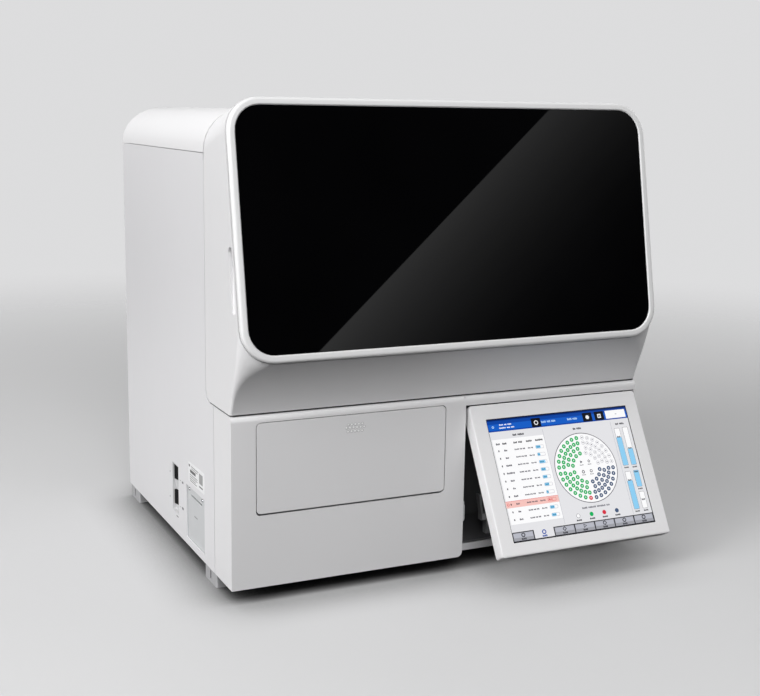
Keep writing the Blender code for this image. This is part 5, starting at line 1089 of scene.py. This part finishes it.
def make_world():
    """Soft dome, bright overhead and low down at the right and rear, behind a plain pale backdrop."""
    world = bpy.data.worlds.new("studio")
    world.use_nodes = True
    nodes, links = world.node_tree.nodes, world.node_tree.links
    coords = nodes.new("ShaderNodeTexCoord")
    split = nodes.new("ShaderNodeSeparateXYZ")
    links.new(coords.outputs["Generated"], split.inputs["Vector"])
    height = split.outputs["Z"]
    sky = mapped(nodes, links, height, *SKY_RISE, 0.0, SKY_STRENGTH)
    aside = nodes.new("ShaderNodeVectorMath")
    aside.operation = "DOT_PRODUCT"
    aside.inputs[1].default_value = FILL_TOWARD
    links.new(coords.outputs["Generated"], aside.inputs[0])
    fill = mapped(nodes, links, aside.outputs["Value"], *FILL_SPAN, 0.0, FILL_STRENGTH)
    for fade in ((*FILL_TOP_FADE, 1.0, 0.0), (*FILL_LOW_FADE, 0.0, 1.0)):
        fill = combined(nodes, links, "MULTIPLY", fill, mapped(nodes, links, height, *fade))
    light = nodes["Background"]
    light.inputs["Color"].default_value = (1, 1, 1, 1)
    links.new(combined(nodes, links, "ADD", sky, fill), light.inputs["Strength"])
    backdrop = nodes.new("ShaderNodeBackground")
    backdrop.inputs["Color"].default_value = (BACKDROP, BACKDROP, BACKDROP * 1.01, 1)
    path = nodes.new("ShaderNodeLightPath")
    mix = nodes.new("ShaderNodeMixShader")
    links.new(path.outputs["Is Camera Ray"], mix.inputs["Fac"])
    links.new(light.outputs["Background"], mix.inputs[1])
    links.new(backdrop.outputs["Background"], mix.inputs[2])
    links.new(mix.outputs["Shader"], nodes["World Output"].inputs["Surface"])
    bpy.context.scene.world = world


def make_reflector(camera_place):
    """A lit card in front of the machine whose reflection crosses the glass along a slanted line."""
    along = Vector((0, math.sin(HOOD_TILT), math.cos(HOOD_TILT)))
    normal = Vector((0, -math.cos(HOOD_TILT), math.sin(HOOD_TILT)))
    centre = hood_point(0.0, 0.0, 0.0)
    image = camera_place - normal * (2 * (camera_place - centre).dot(normal))
    facing = (centre - image).normalized()
    plane = centre + facing * CARD_DISTANCE

    def cast(x, w):
        through = centre + Vector((x, 0, 0)) + along * w
        ray = through - image
        return image + ray * ((plane - image).dot(facing) / ray.dot(facing))

    top, low = Vector(REFLECTION_TOP), Vector(REFLECTION_LOW)
    slope = (top - low).normalized()
    aside = Vector((slope.y, -slope.x))
    start, end = low - slope * CARD_OVERRUN, top + slope * CARD_OVERRUN
    bm = bmesh.new()
    layer = bm.loops.layers.float_color.new("glow")
    rows = []
    for distance, level in CARD_BANDS:
        row = []
        for share in CARD_SHARES:
            spot = start.lerp(end, share) + aside * distance
            row.append((bm.verts.new(cast(spot.x, spot.y)), level * (CARD_LOW_LEVEL - CARD_FALL * share)))
        rows.append(row)
    for near, far in zip(rows, rows[1:]):
        for i in range(len(near) - 1):
            corners = (near[i], near[i + 1], far[i + 1], far[i])
            face = bm.faces.new([corner[0] for corner in corners])
            for loop, corner in zip(face.loops, corners):
                loop[layer] = (corner[1], corner[1], corner[1], 1.0)
    mesh = bpy.data.meshes.new("reflector")
    bm.to_mesh(mesh)
    bm.free()
    card = bpy.data.objects.new("reflector", mesh)
    bpy.context.scene.collection.objects.link(card)
    mat = bpy.data.materials.new("reflector")
    mat.use_nodes = True
    nodes, links = mat.node_tree.nodes, mat.node_tree.links
    nodes.remove(nodes["Principled BSDF"])
    glow = nodes.new("ShaderNodeEmission")
    attribute = nodes.new("ShaderNodeVertexColor")
    attribute.layer_name = "glow"
    glow.inputs["Strength"].default_value = CARD_STRENGTH
    links.new(attribute.outputs["Color"], glow.inputs["Color"])
    links.new(glow.outputs["Emission"], nodes["Material Output"].inputs["Surface"])
    mesh.materials.append(mat)
    card.visible_camera = False
    card.visible_diffuse = False
    card.visible_shadow = False


camera_place = make_camera()
make_floor()
make_world()
make_reflector(camera_place)
for name, place, power in LIGHTS:
    area_light(name, place, power)
bpy.context.scene.view_settings.view_transform = "Standard"
